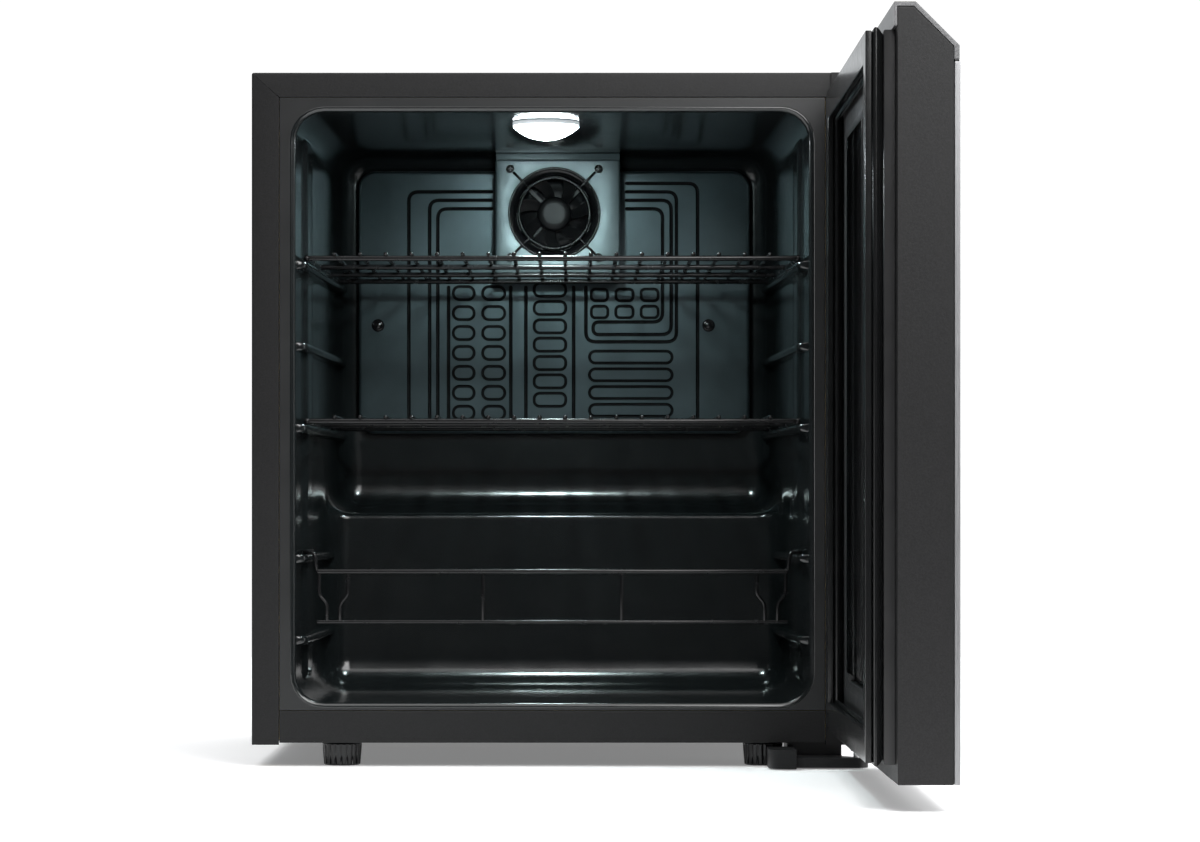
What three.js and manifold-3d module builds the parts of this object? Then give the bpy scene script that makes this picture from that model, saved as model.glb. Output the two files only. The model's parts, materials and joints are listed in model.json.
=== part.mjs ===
// Mini fridge with a glazed door, standing open at a right angle. Millimetres, +Z up.
// The cabinet is drawn in its own frame: X across from its centre line, Y back from its front face,
// Z up from the floor. The exported group then shifts everything so that the origin is on the floor,
// under the middle of the open fridge.
import * as THREE from "three";
import { mergeVertices } from "three/addons/utils/BufferGeometryUtils.js";
import Module from "manifold-3d";

const wasm = await Module();
wasm.setup();

// ---------------------------------------------------------------- driving dimensions
const GAP = 0.3;

const CASE = { half: 220, bottom: 16, top: 508, back: 432, sheet: 1.2, sideFlange: 20, topFlange: 18 };
const TRIM = { bottom: 17.5, lip: 13.5 };
const CAVITY = { half: 188, bottom: 47, top: 479, back: 395, corner: 20, rearRound: 17, narrowing: 10 };
const LINER = { wall: 2, flangeBottom: 41.3, ledgeDepth: 8, ledgeThick: 6, ledgeFront: 12, ledgeBack: 384 };
const LEDGE_TOPS = [95, 155, 251, 311, 371];
const STEP = { front: 265, top: 185 };
const BAY = { front: 290, top: 160, sheet: 1 };
const DECK = { bottom: 18.2, thick: 1.8, front: 292, back: 427, lip: 10 };

const FOOT = { x: 155, frontY: 25, rearY: 392, top: 14.8, bottom: 13.5, height: 17, stud: 4, studTop: 36 };

const PLATE = { half: 161, bottom: 250, top: 466, front: 386, thick: 1.6, corner: 14 };
const PLATE_SCREWS = { left: -145, right: 127, z: 339 };
const FAN = { x: 0.2, z: 429.6, front: 360, hole: 38, frame: 40, screwPitch: 72, hub: 14, blades: 7 };
const COVER = { x: 3, z: 425.4, half: 51, sheet: 1.2 };
const SWITCH = { x: 110, y: 6, z: 497, length: 30, size: 6 };
const LAMP = { x: -5, y: 79, rim: 25, lens: 24.6, rimThick: 3.4, dome: 10 };

const SHELF = { half: 181, rearHalf: 176.5, front: 22, back: 350, rail: 2 };
const SHELF_WIRES = { count: 18, pitch: 18.9, r: 1.55 };
const SHELF_CROSS_RAILS = [140, 250];
const SHELF_LEDGES = { upper: 371, lower: 251 };
const GUARD = {
  y: 16,
  half: 174,
  top: 142.6,
  bottom: 105.5,
  topRail: 1.95,
  bottomRail: 1.5,
  wire: 1.4,
  postX: 51,
  shoulder: { top: 125.6, bottom: 118.9 },
  arms: { z: 156.9, front: 183.2, rear: 181.2, back: 95 },
};

// The hinge axis is upright. The door is drawn closed and then swung open by OPEN_ANGLE.
const AXIS = { x: 221, y: -23.5 };
const OPEN_ANGLE = Math.PI / 2;
const DOOR = { half: 219.8, bottom: 17.3, top: 502, back: -19.4, front: -54.3, capTop: 505.2 };
const CHAMFER = { back: -29.4, bottom: 477.1 };
const CAP = { back: -17.2, backBottom: 490, front: -58, frontBottom: 469.3 };
const CAP_SLOPE = { top: -30.7, bottom: 477.9 };
const WINDOW = { half: 165, bottom: 72, top: 453 };
const PANEL = { back: -54.8, front: -58.6, top: 467.8 };
const BEZEL = { half: 202, bottom: 29, top: 489.5, front: -11.9, back: -19.1 };
const GASKET = { half: 201.5, bottom: 30, top: 489, width: 20, lip: 4.1, face: -0.5, bellows: 14 };
const PIN = { r: 2.2, hole: 2.6 };
const LUG = { bottom: 12.9, top: 16.8, ring: 4.2 };
const KNUCKLE = { bottom: 489, top: 504.8, r: 5.4 };
const ARM = { bottom: 1, top: 8.2, end: 8.5 };
const LEAF = { left: 204, right: 219.5, tongue: 212, thick: 2, bottom: 478 };
const BRACKET = { left: 172.5, right: 212, front: 6, back: 60, top: 17.2 };
const LOBE = { left: 157, right: 176.5, front: -43, back: 4, bottom: 0.8, top: 14.6 };

const COMPRESSOR = { x: -20, y: 357, radius: 54, base: 27, top: 134, shoulder: 26 };
const MOUNTS = { dx: 56, dy: 34, r: 9, waist: 7 };
const RELAY = { length: 30, half: 24, bottom: 62, top: 112 };
const TRAY = { halfX: 62, halfY: 48, depth: 17.5, wall: 2, corner: 12 };
const DRIER = { x: 130, y: 405, r: 9, neck: 2.5, tip: 2, bottom: 40, top: 144 };
const KNOB = { x: -175, z: 128, radius: 17, grip: 11, halfX: 26, halfZ: 24, front: 378, face: 420, end: 434 };
const INLET = { x: 190, z: 60, halfX: 17, halfZ: 14, front: 396, floor: 408, back: 424 };
const INLET_MOUTH = { halfX: 12, halfZ: 8.5 };
const CONDENSER = { half: 190, bottom: 200, top: 480, runs: 8, y: 442, tube: 2.4, wire: 0.8, wires: 11 };

// ---------------------------------------------------------------- geometry helpers
function positionsOnly(geometry) {
  const bare = geometry.index ? geometry.toNonIndexed() : geometry.clone();
  bare.deleteAttribute("normal");
  bare.deleteAttribute("uv");
  return mergeVertices(bare, 1e-4);
}

function toSolid(geometry) {
  const merged = positionsOnly(geometry);
  const mesh = new wasm.Mesh({
    numProp: 3,
    vertProperties: new Float32Array(merged.attributes.position.array),
    triVerts: new Uint32Array(merged.index.array),
  });
  return new wasm.Manifold(mesh);
}

function toGeometry(solid) {
  const mesh = solid.getMesh();
  const geometry = new THREE.BufferGeometry();
  geometry.setAttribute("position", new THREE.BufferAttribute(mesh.vertProperties, 3));
  geometry.setIndex(new THREE.BufferAttribute(mesh.triVerts, 1));
  return geometry;
}

function join(...geometries) {
  return toGeometry(geometries.map(toSolid).reduce((a, b) => a.add(b)));
}

function cut(body, ...tools) {
  return toGeometry(tools.map(toSolid).reduce((a, b) => a.subtract(b), toSolid(body)));
}

function overlap(a, b) {
  return toGeometry(toSolid(a).intersect(toSolid(b)));
}

function box(x0, x1, y0, y1, z0, z1) {
  const geometry = new THREE.BoxGeometry(x1 - x0, y1 - y0, z1 - z0);
  return geometry.translate((x0 + x1) / 2, (y0 + y1) / 2, (z0 + z1) / 2);
}

function polygon(points) {
  return new THREE.Shape(points.map(([a, b]) => new THREE.Vector2(a, b)));
}

function roundedRect(x0, x1, y0, y1, r) {
  const shape = new THREE.Shape();
  shape.moveTo(x0 + r, y0);
  shape.lineTo(x1 - r, y0);
  shape.absarc(x1 - r, y0 + r, r, -Math.PI / 2, 0);
  shape.lineTo(x1, y1 - r);
  shape.absarc(x1 - r, y1 - r, r, 0, Math.PI / 2);
  shape.lineTo(x0 + r, y1);
  shape.absarc(x0 + r, y1 - r, r, Math.PI / 2, Math.PI);
  shape.lineTo(x0, y0 + r);
  shape.absarc(x0 + r, y0 + r, r, Math.PI, 1.5 * Math.PI);
  return shape;
}

function prism(shape, depth, curveSegments = 5) {
  return new THREE.ExtrudeGeometry(shape, { depth, curveSegments, bevelEnabled: false });
}

// An outline in (Y, Z), extruded along X.
function prismX(shape, x0, x1) {
  const turn = new THREE.Matrix4().makeBasis(
    new THREE.Vector3(0, 1, 0),
    new THREE.Vector3(0, 0, 1),
    new THREE.Vector3(1, 0, 0),
  );
  return prism(shape, x1 - x0).applyMatrix4(turn).translate(x0, 0, 0);
}

// An outline in (X, Z), extruded along Y.
function prismY(shape, y0, y1, curveSegments) {
  return prism(shape, y1 - y0, curveSegments).rotateX(Math.PI / 2).translate(0, y1, 0);
}

// An outline in (X, Y), extruded along Z.
function prismZ(shape, z0, z1, curveSegments) {
  return prism(shape, z1 - z0, curveSegments).translate(0, 0, z0);
}

// A rectangular ring that lies in a vertical plane, with its opening along Y.
function ringY(outer, inner, y0, y1) {
  return cut(
    box(-outer.half, outer.half, y0, y1, outer.bottom, outer.top),
    box(-inner.half, inner.half, y0 - 1, y1 + 1, inner.bottom, inner.top),
  );
}

function cylinderZ(x, y, r, z0, z1, sides = 20) {
  const geometry = new THREE.CylinderGeometry(r, r, z1 - z0, sides).rotateX(Math.PI / 2);
  return geometry.translate(x, y, (z0 + z1) / 2);
}

function cylinderY(x, z, r, y0, y1, sides = 20) {
  return new THREE.CylinderGeometry(r, r, y1 - y0, sides).translate(x, (y0 + y1) / 2, z);
}

// A body of revolution about an upright axis: points are [radius, height] and meet the axis at both ends.
function latheZ(points, sides = 24) {
  const profile = points.map(([r, h]) => new THREE.Vector2(r, h));
  return new THREE.LatheGeometry(profile, sides).rotateX(Math.PI / 2);
}

// A straight rod between two points.
function rod(from, to, r, sides = 6) {
  const a = new THREE.Vector3(...from);
  const b = new THREE.Vector3(...to);
  const along = b.clone().sub(a);
  const geometry = new THREE.CylinderGeometry(r, r, along.length(), sides);
  const up = new THREE.Vector3(0, 1, 0);
  geometry.applyQuaternion(new THREE.Quaternion().setFromUnitVectors(up, along.normalize()));
  const middle = a.add(b).multiplyScalar(0.5);
  return geometry.translate(middle.x, middle.y, middle.z);
}

// A round wire or tube through corner points, with each corner rounded to the bend radius.
function bentTube(points, r, bend, steps, sides = 8) {
  const corners = points.map((p) => new THREE.Vector3(...p));
  const path = new THREE.CurvePath();
  let start = corners[0];
  for (let i = 1; i < corners.length - 1; i++) {
    const corner = corners[i];
    const before = corners[i - 1].clone().sub(corner).setLength(bend).add(corner);
    const after = corners[i + 1].clone().sub(corner).setLength(bend).add(corner);
    path.add(new THREE.LineCurve3(start, before));
    path.add(new THREE.QuadraticBezierCurve3(before, corner, after));
    start = after;
  }
  path.add(new THREE.LineCurve3(start, corners[corners.length - 1]));
  const section = new THREE.Shape();
  for (let i = 0; i < sides; i++) {
    const angle = (i / sides) * 2 * Math.PI;
    const point = [r * Math.cos(angle), r * Math.sin(angle)];
    if (i === 0) section.moveTo(...point);
    else section.lineTo(...point);
  }
  return new THREE.ExtrudeGeometry(section, { steps, extrudePath: path, bevelEnabled: false });
}

// ---------------------------------------------------------------- materials
const finish = (color, roughness, metalness) => () =>
  new THREE.MeshStandardMaterial({ color, roughness, metalness });
const MATERIAL = {
  casing: finish(0x2b2b2c, 0.6, 0.1),
  liner: finish(0x0c0e0e, 0.22, 0),
  galvanised: finish(0x8f9496, 0.45, 0.8),
  foam: finish(0xd9c58a, 0.9, 0),
  coldPlate: finish(0x39434a, 0.45, 0.5),
  fanCover: finish(0x8d9aa3, 0.4, 0.3),
  blackPlastic: finish(0x111213, 0.45, 0),
  rubber: finish(0x0d0d0d, 0.8, 0),
  wire: finish(0x0e0f10, 0.35, 0.2),
  lens: finish(0xf4faff, 0.2, 0),
  whitePlastic: finish(0xe8ecee, 0.35, 0),
  doorCap: finish(0x5f5f61, 0.4, 0.3),
  brushed: finish(0x9a9b9d, 0.35, 0.9),
  glass: finish(0x0b1011, 0.05, 0),
  spacer: finish(0xb9bdbf, 0.35, 0.9),
  compressor: finish(0x141516, 0.4, 0.2),
  copper: finish(0xb06a3c, 0.35, 0.9),
  zincScrew: finish(0xa9acae, 0.35, 0.9),
};

function place(group, name, geometry, material) {
  const mesh = new THREE.Mesh(geometry, material());
  mesh.name = name;
  group.add(mesh);
}

// ---------------------------------------------------------------- cabinet shell
// One folded sheet over the sides and top, with a flange turned in at the front and mitred corners.
function outerCasing() {
  const { half, bottom, top, back, sheet, sideFlange, topFlange } = CASE;
  const arch = (inset, topInset) =>
    polygon([
      [-half, bottom],
      [-half, top],
      [half, top],
      [half, bottom],
      [half - inset, bottom],
      [half - inset, top - topInset],
      [inset - half, top - topInset],
      [inset - half, bottom],
    ]);
  const wrap = prismY(arch(sheet, sheet), 0, back);
  const flange = prismY(arch(sideFlange, topFlange), 0, sheet);
  const mitreLength = Math.hypot(sideFlange, topFlange) + 2;
  const mitre = (side) =>
    box(-mitreLength / 2, mitreLength / 2, -1, 0.5, -0.25, 0.25)
      .rotateY(side * Math.atan2(topFlange, sideFlange))
      .translate(side * (half - sideFlange / 2), 0, top - topFlange / 2);
  return cut(join(wrap, flange), mitre(-1), mitre(1));
}

function backPanel() {
  const inner = CASE.half - CASE.sheet - GAP;
  const face = CASE.back - CASE.sheet;
  return box(-inner, inner, face - CASE.sheet, face, BAY.top + 1.5, CASE.top - CASE.sheet - GAP);
}

function frontTrim() {
  const half = CASE.half - CASE.sideFlange - GAP;
  const top = LINER.flangeBottom - GAP;
  const { bottom, lip } = TRIM;
  const { sheet } = CASE;
  const profile = polygon([
    [0, bottom],
    [lip, bottom],
    [lip, bottom + sheet],
    [sheet, bottom + sheet],
    [sheet, top],
    [0, top],
  ]);
  return prismX(profile, -half, half);
}

function bottomPanel() {
  const inner = CASE.half - CASE.sheet - GAP;
  const holes = [-1, 1].map((side) => cylinderZ(side * FOOT.x, FOOT.frontY, FOOT.stud + 1, 10, 30));
  return cut(box(-inner, inner, 14, BAY.front - 2, DECK.bottom, DECK.bottom + CASE.sheet), ...holes);
}

function bayWall() {
  const inner = CASE.half - CASE.sheet - GAP;
  const back = CASE.back - 2 * CASE.sheet - GAP;
  const profile = polygon([
    [BAY.front, 20],
    [BAY.front + BAY.sheet, 20],
    [BAY.front + BAY.sheet, BAY.top - BAY.sheet],
    [back, BAY.top - BAY.sheet],
    [back, BAY.top],
    [BAY.front, BAY.top],
  ]);
  return prismX(profile, -inner, inner);
}

function bayDeck() {
  const inner = CASE.half - CASE.sheet - GAP;
  const top = DECK.bottom + DECK.thick;
  const profile = polygon([
    [DECK.front, DECK.bottom],
    [DECK.back, DECK.bottom],
    [DECK.back, top + DECK.lip],
    [DECK.back - DECK.thick, top + DECK.lip],
    [DECK.back - DECK.thick, top],
    [DECK.front, top],
  ]);
  const holes = [-1, 1].map((side) => cylinderZ(side * FOOT.x, FOOT.rearY, 3.4, 10, 30));
  return cut(prismX(profile, -inner, inner), ...holes);
}

// ---------------------------------------------------------------- liner and insulation
// The cavity as a solid, grown outwards by the given wall: rounded corners, a rounded rear edge and a
// step over the compressor bay.
function tub(wall) {
  const lead = 60;
  const half = CAVITY.half + wall;
  const shape = roundedRect(-half, half, CAVITY.bottom - wall, CAVITY.top + wall, CAVITY.corner + wall);
  const round = CAVITY.rearRound;
  const geometry = new THREE.ExtrudeGeometry(shape, {
    depth: CAVITY.back + wall + lead - 2 * round,
    curveSegments: 5,
    bevelThickness: round,
    bevelSize: round,
    bevelOffset: -round,
    bevelSegments: 4,
  });
  geometry.rotateX(Math.PI / 2).translate(0, CAVITY.back + wall - round, 0);
  const step = box(-300, 300, STEP.front + wall, 600, 0, STEP.top - wall);
  const front = box(-300, 300, -200, -1, 0, 600);
  return cut(geometry, step, front);
}

// Narrows the cabinet's inside towards the back, so that the liner draws off its mould.
function draft(geometry) {
  const p = geometry.attributes.position;
  const rate = CAVITY.narrowing / CAVITY.half / CAVITY.back;
  for (let i = 0; i < p.count; i++) p.setX(i, p.getX(i) * (1 - rate * Math.max(0, p.getY(i))));
  return geometry;
}

function ledge(side, top) {
  const back = top < STEP.top ? STEP.front - 1 : LINER.ledgeBack;
  const inner = side * (CAVITY.half - LINER.ledgeDepth);
  const outer = side * (CAVITY.half + 1);
  const [x0, x1] = [Math.min(inner, outer), Math.max(inner, outer)];
  return box(x0, x1, LINER.ledgeFront, back, top - LINER.ledgeThick, top);
}

function innerLiner() {
  const { wall } = LINER;
  const half = CASE.half - CASE.sideFlange - GAP;
  const top = CASE.top - CASE.topFlange - GAP;
  const flange = box(-half, half, GAP, GAP + wall, LINER.flangeBottom, top);
  const shell = overlap(tub(wall), box(-300, 300, GAP, 600, 0, 600));
  const ledges = LEDGE_TOPS.flatMap((z) => [ledge(-1, z), ledge(1, z)]);
  return draft(join(cut(join(shell, flange), tub(0)), ...ledges));
}

function insulationFoam() {
  const inner = CASE.half - CASE.sheet - GAP;
  const front = 2 * GAP + LINER.wall;
  const back = CASE.back - 2 * CASE.sheet - GAP;
  const floor = DECK.bottom + CASE.sheet + GAP;
  const block = box(-inner, inner, front, back, floor, CASE.top - CASE.sheet - GAP);
  const bay = box(-300, 300, BAY.front - GAP, 600, 0, BAY.top + GAP);
  const pockets = [-1, 1].map((side) => cylinderZ(side * FOOT.x, FOOT.frontY, 10, 0, 40));
  return cut(block, draft(tub(LINER.wall + GAP)), bay, switchBox(0, GAP), ...pockets);
}

// The magnetic switch for the lamp, which lies in a notch of the foam behind the top flange.
function switchBox(front, clearance) {
  const { x, y, z, length, size } = SWITCH;
  const [a, b] = [length / 2 + clearance, size / 2 + clearance];
  return box(x - a, x + a, front, y + b, z - b, z + b);
}

// ---------------------------------------------------------------- cooling inside the cavity
function evaporatorPlate() {
  const { half, bottom, top, front, thick, corner } = PLATE;
  const sheet = prismY(roundedRect(-half, half, bottom, top, corner), front, front + thick);
  const holes = [PLATE_SCREWS.left, PLATE_SCREWS.right].map((x) =>
    cylinderY(x, PLATE_SCREWS.z, 2.3, front - 1, front + thick + 1, 12),
  );
  return cut(sheet, ...holes);
}

function plateScrew(x) {
  const head = cylinderY(x, PLATE_SCREWS.z, 4, PLATE.front - 2.6, PLATE.front - GAP, 12);
  const shank = cylinderY(x, PLATE_SCREWS.z, 1.9, PLATE.front - 1, CAVITY.back - GAP, 12);
  return join(head, shank);
}

function fanCover() {
  const { x, z, half, sheet } = COVER;
  const { front, hole } = FAN;
  const back = PLATE.front - GAP;
  const shell = box(x - half, x + half, front, back, z - half, z + half);
  const inside = half - sheet;
  const hollow = box(x - inside, x + inside, front + sheet, back + 1, z - inside, z + inside);
  return cut(shell, hollow, cylinderY(FAN.x, FAN.z, hole, front - 1, front + 3, 28));
}

// Two wire rings and four spokes that end in eyes over the screw places.
function fanGuard() {
  const { x, z, front, screwPitch } = FAN;
  const y = front - GAP - 1.2;
  const ring = (r) => new THREE.TorusGeometry(r, 1.2, 5, 24).rotateX(Math.PI / 2).translate(x, y, z);
  const spokes = [45, 135, 225, 315].map((degrees) => {
    const angle = THREE.MathUtils.degToRad(degrees);
    const at = (r) => [x + r * Math.cos(angle), y, z + r * Math.sin(angle)];
    return rod(at(27.5), at(screwPitch / Math.SQRT2), 1.2, 5);
  });
  return join(ring(36.7), ring(28.8), ...spokes);
}

function fanFrame() {
  const { x, z, frame, front, hole } = FAN;
  const [y0, y1] = [front + 2, front + 20];
  const square = box(x - frame, x + frame, y0, y1, z - frame, z + frame);
  const body = cut(square, cylinderY(x, z, hole - 0.5, y0 - 1, y1 + 1, 28));
  const seat = cylinderY(x, z, 13, y1 - 3, y1);
  const arms = [0, 90, 180, 270].map((degrees) => {
    const arm = box(11, frame - 1, y1 - 3, y1, -1.5, 1.5);
    return arm.rotateY(THREE.MathUtils.degToRad(degrees + 45)).translate(x, 0, z);
  });
  return join(body, seat, ...arms);
}

function fanMotor() {
  return cylinderY(FAN.x, FAN.z, 9.5, FAN.front + 6.5, FAN.front + 16.7);
}

function fanImpeller() {
  const { hub, blades, front } = FAN;
  const cup = cut(cylinderY(0, 0, hub, front + 4, front + 16), cylinderY(0, 0, 10.5, front + 6, front + 20));
  const blade = (i) => {
    const vane = box(hub - 1.5, 35.5, -5.5, 5.5, -0.8, 0.8);
    vane.rotateX(THREE.MathUtils.degToRad(38)).translate(0, front + 10, 0);
    return vane.rotateY((i / blades) * 2 * Math.PI);
  };
  const vanes = Array.from({ length: blades }, (_, i) => blade(i));
  return join(cup, ...vanes).translate(FAN.x, 0, FAN.z);
}

// ---------------------------------------------------------------- lamp
function lampBase() {
  const top = CAVITY.top - GAP;
  return cylinderZ(LAMP.x, LAMP.y, LAMP.rim, top - LAMP.rimThick, top, 32);
}

function lampLens() {
  const top = CAVITY.top - 2 * GAP - LAMP.rimThick;
  const ball = (LAMP.lens ** 2 + LAMP.dome ** 2) / (2 * LAMP.dome);
  const widest = Math.asin(LAMP.lens / ball);
  const steps = 6;
  const profile = [[0, top - LAMP.dome]];
  for (let i = 1; i <= steps; i++) {
    const angle = (i / steps) * widest;
    profile.push([ball * Math.sin(angle), top - LAMP.dome + ball * (1 - Math.cos(angle))]);
  }
  profile.push([0, top]);
  return latheZ(profile, 28).translate(LAMP.x, LAMP.y, 0);
}

// ---------------------------------------------------------------- shelves and bottle guard
function wireShelf(ledgeTop) {
  const { half, rearHalf, front, back, rail } = SHELF;
  const { count, pitch, r } = SHELF_WIRES;
  const z = ledgeTop + GAP + rail;
  const halfAt = (y) => half + ((rearHalf - half) * (y - front)) / (back - front);
  const cross = [front, ...SHELF_CROSS_RAILS, back].map((y) =>
    rod([-halfAt(y), y, z], [halfAt(y), y, z], rail),
  );
  const sides = [-1, 1].map((side) =>
    rod([side * half, front - rail, z], [side * rearHalf, back + rail, z], rail),
  );
  const top = z + rail + r - 0.5;
  const first = (-pitch * (count - 1)) / 2;
  const bars = Array.from({ length: count }, (_, i) => {
    const x = first + i * pitch;
    return rod([x, front - 3, top], [x, back + 2.5, top], r);
  });
  return join(...cross, ...sides, ...bars);
}

function bottleGuard() {
  const { y, half, top, bottom, topRail, bottomRail, wire, postX, shoulder, arms } = GUARD;
  const rails = [
    rod([-half, y, top], [half, y, top], topRail, 8),
    rod([-half, y, bottom], [half, y, bottom], bottomRail),
  ];
  const posts = [-1, 1].map((side) => rod([side * postX, y, top], [side * postX, y, bottom], wire));
  const goblet = (side, xTop, xBottom) =>
    bentTube(
      [
        [side * xTop, y, top],
        [side * xTop, y, shoulder.top],
        [side * xBottom, y, shoulder.bottom],
        [side * xBottom, y, bottom],
      ],
      wire,
      3,
      10,
      6,
    );
  const arm = (side) =>
    bentTube(
      [
        [side * (half - 1), y, top],
        [side * (half + 1), y, arms.z],
        [side * arms.front, y + 6, arms.z],
        [side * arms.rear, arms.back, arms.z],
      ],
      wire,
      4,
      16,
      6,
    );
  const ends = [-1, 1].flatMap((side) => [
    goblet(side, 171.5, 165.7),
    goblet(side, 150.4, 156.2),
    arm(side),
  ]);
  return join(...rails, ...posts, ...ends);
}

// ---------------------------------------------------------------- feet
function levellingFoot() {
  const { top, bottom, height, stud, studTop } = FOOT;
  return latheZ([
    [0, 0],
    [bottom - 1, 0],
    [bottom, 1],
    [top, height - 1.5],
    [top - 1, height],
    [stud, height],
    [stud, studTop],
    [0, studTop],
  ]);
}

function rearFoot() {
  const { top, bottom } = FOOT;
  const height = DECK.bottom - GAP;
  return latheZ([
    [0, 0],
    [bottom - 1, 0],
    [bottom, 1],
    [top - 1, height],
    [3, height],
    [3, height + 6],
    [0, height + 6],
  ]);
}

// ---------------------------------------------------------------- compressor bay
function compressor() {
  const { x, y, radius, base, top, shoulder } = COMPRESSOR;
  const steps = 4;
  const profile = [
    [0, base + 2],
    [radius - 6, base + 2],
    [radius, base + 12],
  ];
  for (let i = 0; i <= steps; i++) {
    const angle = (i / steps) * (Math.PI / 2);
    const r = radius - shoulder + shoulder * Math.cos(angle);
    profile.push([r, top - shoulder + shoulder * Math.sin(angle)]);
  }
  profile.push([0, top]);
  const shell = latheZ(profile, 28).translate(x, y, 0);
  const [halfX, halfY] = [MOUNTS.dx + 12, MOUNTS.dy + 12];
  const outline = roundedRect(x - halfX, x + halfX, y - halfY, y + halfY, 10);
  return join(shell, prismZ(outline, base, base + 3));
}

function compressorMount(dx, dy) {
  const { r, waist } = MOUNTS;
  const z = DECK.bottom + DECK.thick + GAP;
  const height = COMPRESSOR.base - GAP - z;
  const profile = [
    [0, 0],
    [r, 0],
    [r, height * 0.35],
    [waist, height * 0.5],
    [r, height * 0.65],
    [r, height],
    [0, height],
  ];
  return latheZ(profile, 16).translate(COMPRESSOR.x + dx, COMPRESSOR.y + dy, z);
}

function relayCover() {
  const x = COMPRESSOR.x + COMPRESSOR.radius + GAP;
  const { length, half, bottom, top } = RELAY;
  return box(x, x + length, COMPRESSOR.y - half, COMPRESSOR.y + half, bottom, top);
}

function dripTray() {
  const { halfX, halfY, depth, wall, corner } = TRAY;
  const { x, y } = COMPRESSOR;
  const z = COMPRESSOR.top + 0.5;
  const outline = (inset) => {
    const [a, b] = [halfX - inset, halfY - inset];
    return roundedRect(x - a, x + a, y - b, y + b, corner - inset);
  };
  return cut(prismZ(outline(0), z, z + depth), prismZ(outline(wall), z + wall, z + depth + 1));
}

// From the compressor's shell, out past the back panel and up to the coil's lowest run.
function dischargeLine() {
  const x = -CONDENSER.half + 5;
  const z = COMPRESSOR.base + 40;
  return bentTube(
    [
      [COMPRESSOR.x - COMPRESSOR.radius - GAP, COMPRESSOR.y, z],
      [-100, COMPRESSOR.y, z],
      [-100, 410, z],
      [x, 410, z],
      [x, CONDENSER.y, z + 25],
      [x, CONDENSER.y, CONDENSER.bottom],
      [coilEnd() - GAP, CONDENSER.y, CONDENSER.bottom],
    ],
    CONDENSER.tube,
    10,
    44,
  );
}

// From the compressor's shell up to the bay's ceiling.
function suctionLine() {
  const y = COMPRESSOR.y + COMPRESSOR.radius;
  const x = COMPRESSOR.x;
  return bentTube(
    [
      [x, y + GAP, 90],
      [x, y + 14, 90],
      [95, y + 10, 90],
      [95, y + 10, BAY.top - BAY.sheet - GAP],
    ],
    3,
    8,
    30,
  );
}

function filterDrier() {
  const { x, y, r, neck, tip, bottom, top } = DRIER;
  const profile = [
    [0, bottom],
    [tip, bottom],
    [neck, bottom + 12],
    [r, bottom + 22],
    [r, top - 22],
    [neck, top - 12],
    [tip, top],
    [0, top],
  ];
  return latheZ(profile, 16).translate(x, y, 0);
}

// Where the coil's straight runs end on the left.
function coilEnd() {
  const { half, bottom, top, runs } = CONDENSER;
  return (top - bottom) / (runs - 1) / 2 - half - 0.5;
}

// A serpentine tube with upright wires on its back.
function condenserCoil() {
  const { half, bottom, top, runs, y, tube, wire, wires } = CONDENSER;
  const pitch = (top - bottom) / (runs - 1);
  const inset = pitch / 2;
  const bars = Array.from({ length: runs }, (_, i) => {
    const z = bottom + i * pitch;
    return rod([coilEnd(), y, z], [-coilEnd(), y, z], tube);
  });
  const bends = Array.from({ length: runs - 1 }, (_, i) => {
    const side = i % 2 ? -1 : 1;
    return halfRing(side, side * (half - inset), y, bottom + (i + 0.5) * pitch, inset, tube);
  });
  const spread = 2 * (half - inset - 8);
  const strands = Array.from({ length: wires }, (_, i) => {
    const x = spread * (i / (wires - 1) - 0.5);
    return rod([x, y + tube + wire - 0.5, bottom - 8], [x, y + tube + wire - 0.5, top + 8], wire, 4);
  });
  return join(...bars, ...bends, ...strands);
}

// A torus arc has open ends, so the bend is a full ring cut in half.
function halfRing(side, x, y, z, ring, tube) {
  const full = new THREE.TorusGeometry(ring, tube, 6, 16).rotateX(Math.PI / 2).translate(x, y, z);
  const far = 400;
  const [x0, x1] = side > 0 ? [x, x + far] : [x - far, x];
  return overlap(full, box(x0, x1, y - 20, y + 20, z - far, z + far));
}

function condenserBracket(side) {
  const x = side * 120;
  const back = CONDENSER.y - CONDENSER.tube - GAP;
  return box(x - 8, x + 8, CASE.back - CASE.sheet + GAP, back, CONDENSER.bottom - 6, CONDENSER.top + 6);
}

function thermostatHousing() {
  const { x, z, halfX, halfZ, front, face } = KNOB;
  return box(x - halfX, x + halfX, front, face, z - halfZ, z + halfZ);
}

function thermostatKnob() {
  const { x, z, radius, grip, face, end } = KNOB;
  const skirt = cylinderY(0, 0, radius, face + GAP, face + 4, 28);
  const handle = cylinderY(0, 0, grip, face + 3, end, 20);
  const pointer = box(-2.5, 2.5, face + 3, end, 0, radius - 2);
  return join(skirt, handle, pointer).translate(x, 0, z);
}

// A panel inlet for a detachable lead.
function powerInlet() {
  const { x, z, halfX, halfZ, front, floor, back } = INLET;
  const [a, b] = [INLET_MOUTH.halfX, INLET_MOUTH.halfZ];
  const body = box(x - halfX, x + halfX, front, back, z - halfZ, z + halfZ);
  const mouth = box(x - a, x + a, floor, back + 1, z - b, z + b);
  const blade = (dx, dz) => box(x + dx - 1, x + dx + 1, floor - 1, back - 4, z + dz - 3, z + dz + 3);
  return join(cut(body, mouth), blade(-7, -1.5), blade(7, -1.5), blade(0, 3));
}

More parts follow.
